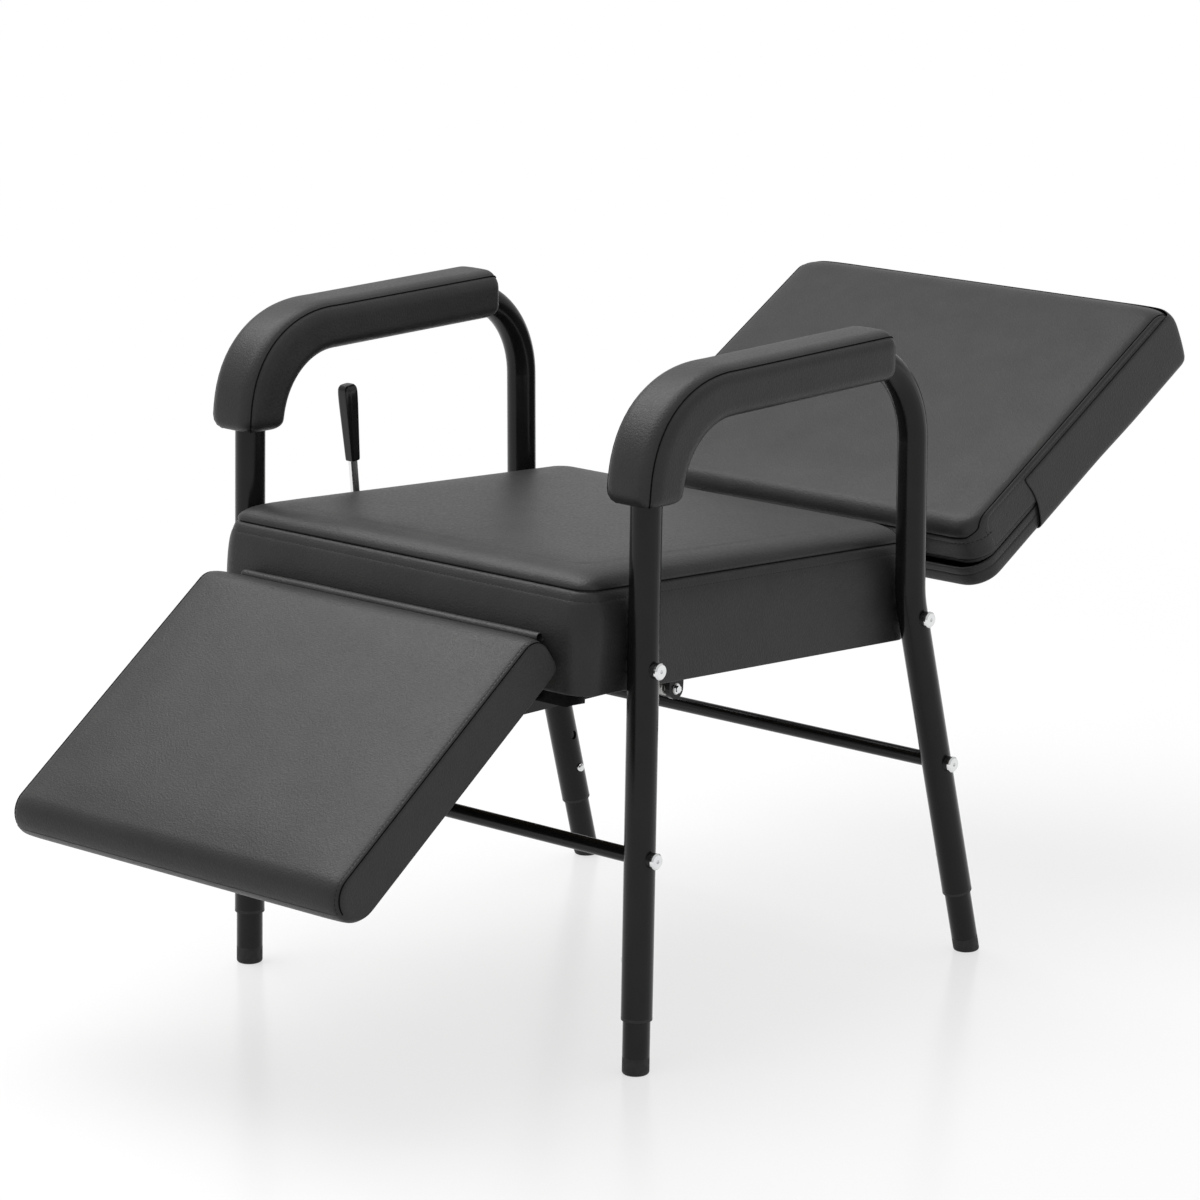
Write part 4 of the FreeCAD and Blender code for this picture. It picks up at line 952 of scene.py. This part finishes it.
# Armrest pads
LEG_FOOT_Y = -291
LEG_LEAN = 0.02529
ARM_Z = 684
ARM_BEND = 100
PAD_ROUND = 12
PAD_ROUND_STEPS = 4
PAD_WIDE = (-33.5, 33.5)
PAD_HIGH = (-24, 27.6)
PAD_CORNERS = (13, 13, 18, 18)
PAD_CORNER_EASE = 0.6
PAD_CORNER_LEAST = 3.0
PAD_SEAM_DEPTH = 0.9
PAD_CROWN = 1.4
PAD_GRID = Grid(even(6), even(5))
PAD_END_FULL = 5.5
PAD_BEND_FULL = 8.0
PAD_BEND_TAIL = 10
PAD_BEND_SKEW = 0.8


def leg_y(z):
    return LEG_FOOT_Y + LEG_LEAN * z


class ArmRoute:
    """The arm tube's middle line under a pad: up the leg, round the bend and along the arm."""

    def __init__(self, from_z, to_y):
        start = Vector((leg_y(from_z), from_z))
        corner = Vector((leg_y(ARM_Z), ARM_Z))
        self.start = start
        self.up = (corner - start).normalized()
        self.turn = math.atan2(self.up.y, self.up.x)
        tangent = ARM_BEND * math.tan(self.turn / 2)
        self.first = (corner - start).length - tangent
        self.bent = ARM_BEND * self.turn
        self.bend_end = Vector((corner.x + tangent, ARM_Z))
        self.length = self.first + self.bent + to_y - self.bend_end.x

    def at(self, travelled):
        """The point at a distance along the route, and the direction of the pad's top there."""
        if travelled < self.first:
            return self.start + self.up * travelled, Vector((-self.up.y, self.up.x))
        if travelled < self.first + self.bent:
            angle = self.turn - (travelled - self.first) / ARM_BEND
            centre = self.bend_end - Vector((0, ARM_BEND))
            out = facing(angle + math.pi / 2)
            return centre + out * ARM_BEND, out
        rest = travelled - self.first - self.bent
        return self.bend_end + Vector((rest, 0)), Vector((0, 1))

    def fullness(self, travelled):
        """How much further out the pad's top is round the bend than along the arm."""
        way = travelled / (self.first + self.bent + PAD_BEND_TAIL)
        share = min(1.0, max(0.0, way)) ** PAD_BEND_SKEW
        return PAD_END_FULL * (1 - share) ** 2 + PAD_BEND_FULL * math.sin(math.pi * share) ** 2


def pad_ring(depth, seams):
    """The pad's section, set in by a depth, with a crowned top and a groove for each seam."""
    a = (PAD_WIDE[0] + depth, PAD_WIDE[1] - depth)
    b = (PAD_HIGH[0] + depth, PAD_HIGH[1] - depth)
    radii = [max(corner - PAD_CORNER_EASE * depth, PAD_CORNER_LEAST) for corner in PAD_CORNERS]
    points = grooved(section(a, b, radii, PAD_GRID), {k: PAD_SEAM_DEPTH for k in seams})
    for point in points:
        if point.y > PAD_HIGH[1] - PAD_CORNERS[-1]:
            point.y += PAD_CROWN * (1 - (point.x / PAD_WIDE[1]) ** 2)
    return points


def upholster_arm(side):
    node = f"armrest_pad_{side}"
    wide, long, high = extent(node, CHAIR)
    x = (wide[0] + wide[1]) / 2
    route = ArmRoute(high[0], long[1])
    seams = [side_start(PAD_GRID, k) - ARC_STEPS for k in (2, 3)]
    ends = [(PAD_ROUND * (1 - math.cos(angle)), PAD_ROUND * (1 - math.sin(angle)))
            for angle in (EIGHTH / 2 * k for k in range(PAD_ROUND_STEPS + 1))]
    span = route.length - 2 * PAD_ROUND
    count = round(span / STEP)
    middle = [(PAD_ROUND + span * k / count, 0) for k in range(1, count)]
    far_ends = [(route.length - travelled, depth) for travelled, depth in reversed(ends)]
    profile = ends + middle + far_ends
    rings = [(travelled, pad_ring(depth, seams)) for travelled, depth in profile]

    def along(point):
        centre, out = route.at(point.z)
        share = (point.y - PAD_HIGH[0]) / (PAD_HIGH[1] - PAD_HIGH[0])
        spot = centre + out * (point.y + route.fullness(point.z) * share)
        return Vector((x + point.x, spot.x, spot.y))

    pad = loft(f"arm_leather_{side}", CHAIR, PAD_GRID, rings, LEATHER, turn=along)
    face_outwards(pad.piece)
    lines = [on_skin(pad, [loop[k] for loop in pad.loops]) for k in seams]
    smooth(pad.piece)
    fit_soft(pad.piece, "chair_frame", node)
    fit_soft(shade_cord(f"arm_seam_shades_{side}", lines), "chair_frame")


def face_outwards(piece):
    """Point every face of a closed piece outwards."""
    skin = bmesh.new()
    skin.from_mesh(piece.data)
    bmesh.ops.recalc_face_normals(skin, faces=skin.faces)
    skin.to_mesh(piece.data)
    skin.free()


# Lever grip
GRIP_HALF = 9.2
GRIP_CORNER = 5.5
GRIP_DOME = 1
GRIP_GRID = Grid(even(3), even(3))
GRIP_FOOT = [(0, 4.4), (0, 3.6), (0.8, 3), (4, 2.8), (40, 1.3)]
GRIP_TOP = [(20, 0.1), (10, 0), (5, 0.3), (2.4, 1.4), (0.9, 3.2)]


def lever_grip():
    wide, _, (foot, top) = extent("lever_grip", LEVER)
    x = (wide[0] + wide[1]) / 2
    span = (-GRIP_HALF, GRIP_HALF)
    profile = [(foot + height, depth) for height, depth in GRIP_FOOT]
    profile += [(top - down, depth) for down, depth in GRIP_TOP]
    corners = (GRIP_CORNER,) * 4
    rings = [(height, inset(span, span, corners, depth, GRIP_GRID)) for height, depth in profile]

    def beside(point):
        return Vector((x + point.x, point.y, point.z))

    pad = loft("lever_handle", LEVER, GRIP_GRID, rings, FINISHES["grip_plastic"],
               top=dome(GRIP_DOME, span, span), turn=beside)
    smooth(pad.piece)
    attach(pad.piece, "lever")
    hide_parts("lever_grip")


# Studio
FLOOR_HALF = 150.0
FLOOR_SHADE = 0.3
FLOOR_SPECULAR = 0.15
FLOOR_ROUGH = (0.2, 0.24)
FLOOR_PATCHES = 3
FLOOR_LIFT = 0.63
WHITE_FROM = 1.0
WHITE_FULL = 2.4
CAMERA_SPOT = Vector((3.3064, -3.7609, 1.6024))
CAMERA_TARGET = Vector((0.00037, -0.033, 0.3993))
CAMERA_LENS = 144.60
CAMERA_REACH = 500
SENSOR = 36.0


def camera():
    lens = bpy.data.cameras.new("camera")
    lens.lens = CAMERA_LENS
    lens.sensor_width = SENSOR
    lens.clip_end = CAMERA_REACH
    eye = bpy.data.objects.new("camera", lens)
    eye.location = CAMERA_SPOT
    eye.rotation_euler = (CAMERA_TARGET - CAMERA_SPOT).to_track_quat("-Z", "Y").to_euler()
    bpy.context.collection.objects.link(eye)
    bpy.context.scene.camera = eye


def seen_rays(tree):
    """1 for rays from the camera, straight, mirrored or through glass, and 0 for light on the chair."""
    path = add(tree, "ShaderNodeLightPath").outputs
    seen = sums(tree, "MAXIMUM", path["Is Camera Ray"], path["Is Glossy Ray"])
    return sums(tree, "MAXIMUM", seen, path["Is Transmission Ray"])


def floor():
    """A pale floor that takes soft shadows round the chair and is plain white further out."""
    sockets = {"Base Color": (*grey(FLOOR_SHADE), 1), "Specular IOR Level": FLOOR_SPECULAR}
    material, tree, shader = surface("floor", sockets)
    spots = object_spots(tree)
    roughen(tree, shader, mottle(tree, spots, FLOOR_PATCHES), *FLOOR_ROUGH)
    seen = seen_rays(tree)
    glow = add(tree, "ShaderNodeEmission", {"Strength": sums(tree, "MULTIPLY", seen, FLOOR_LIFT)})
    near = add(tree, "ShaderNodeAddShader", {0: shader.outputs["BSDF"], 1: glow.outputs["Emission"]})
    away = add(tree, "ShaderNodeVectorMath", {0: spots}, operation="LENGTH").outputs["Value"]
    sockets = {"Value": away, "From Min": WHITE_FROM, "From Max": WHITE_FULL}
    far = add(tree, "ShaderNodeMapRange", sockets, interpolation_type="SMOOTHSTEP").outputs["Result"]
    white = add(tree, "ShaderNodeEmission", {"Strength": seen})
    sockets = {"Fac": sums(tree, "MULTIPLY", far, seen), 1: near.outputs["Shader"],
               2: white.outputs["Emission"]}
    blend = add(tree, "ShaderNodeMixShader", sockets)
    tree.links.new(blend.outputs["Shader"], tree.nodes["Material Output"].inputs["Surface"])
    size = FLOOR_HALF / MM
    corners = [(-size, -size, 0), (size, -size, 0), (size, size, 0), (-size, size, 0)]
    finish_piece("floor", corners, [(0, 1, 2, 3)], CHAIR, material)


SKY_LOW = 0.58
SKY_HIGH = 0.74
LAMP_SPOT = Vector((-0.8, -0.4, 2.7))
LAMP_TARGET = Vector((0, 0, 0.3))
LAMP_SIZE = 2.4
LAMP_POWER = 60


def light():
    """A dome that is brighter overhead, and one large soft lamp."""
    world = bpy.data.worlds.new("studio")
    bpy.context.scene.world = world
    world.use_nodes = True
    tree = world.node_tree
    way = add(tree, "ShaderNodeTexCoord").outputs["Generated"]
    up = add(tree, "ShaderNodeSeparateXYZ", {"Vector": way}).outputs["Z"]
    strength = add(tree, "ShaderNodeMapRange", {"Value": up, "To Min": SKY_LOW, "To Max": SKY_HIGH})
    tree.links.new(strength.outputs["Result"], tree.nodes["Background"].inputs["Strength"])
    tree.nodes["Background"].inputs["Color"].default_value = (1, 1, 1, 1)
    lamp = bpy.data.lights.new("overhead", "AREA")
    lamp.shape = "SQUARE"
    lamp.size = LAMP_SIZE
    lamp.energy = LAMP_POWER
    hung = bpy.data.objects.new("overhead", lamp)
    hung.location = LAMP_SPOT
    hung.rotation_euler = (LAMP_TARGET - LAMP_SPOT).to_track_quat("-Z", "Y").to_euler()
    bpy.context.collection.objects.link(hung)
    bpy.context.scene.view_settings.view_transform = "Standard"


finish_frame()
upholster_seat()
upholster_back()
wrap_board()
cover_back()
sleeve_back()
upholster_legrest()
roll_flap()
for side in SIDES:
    upholster_arm(side)
lever_grip()
camera()
floor()
light()
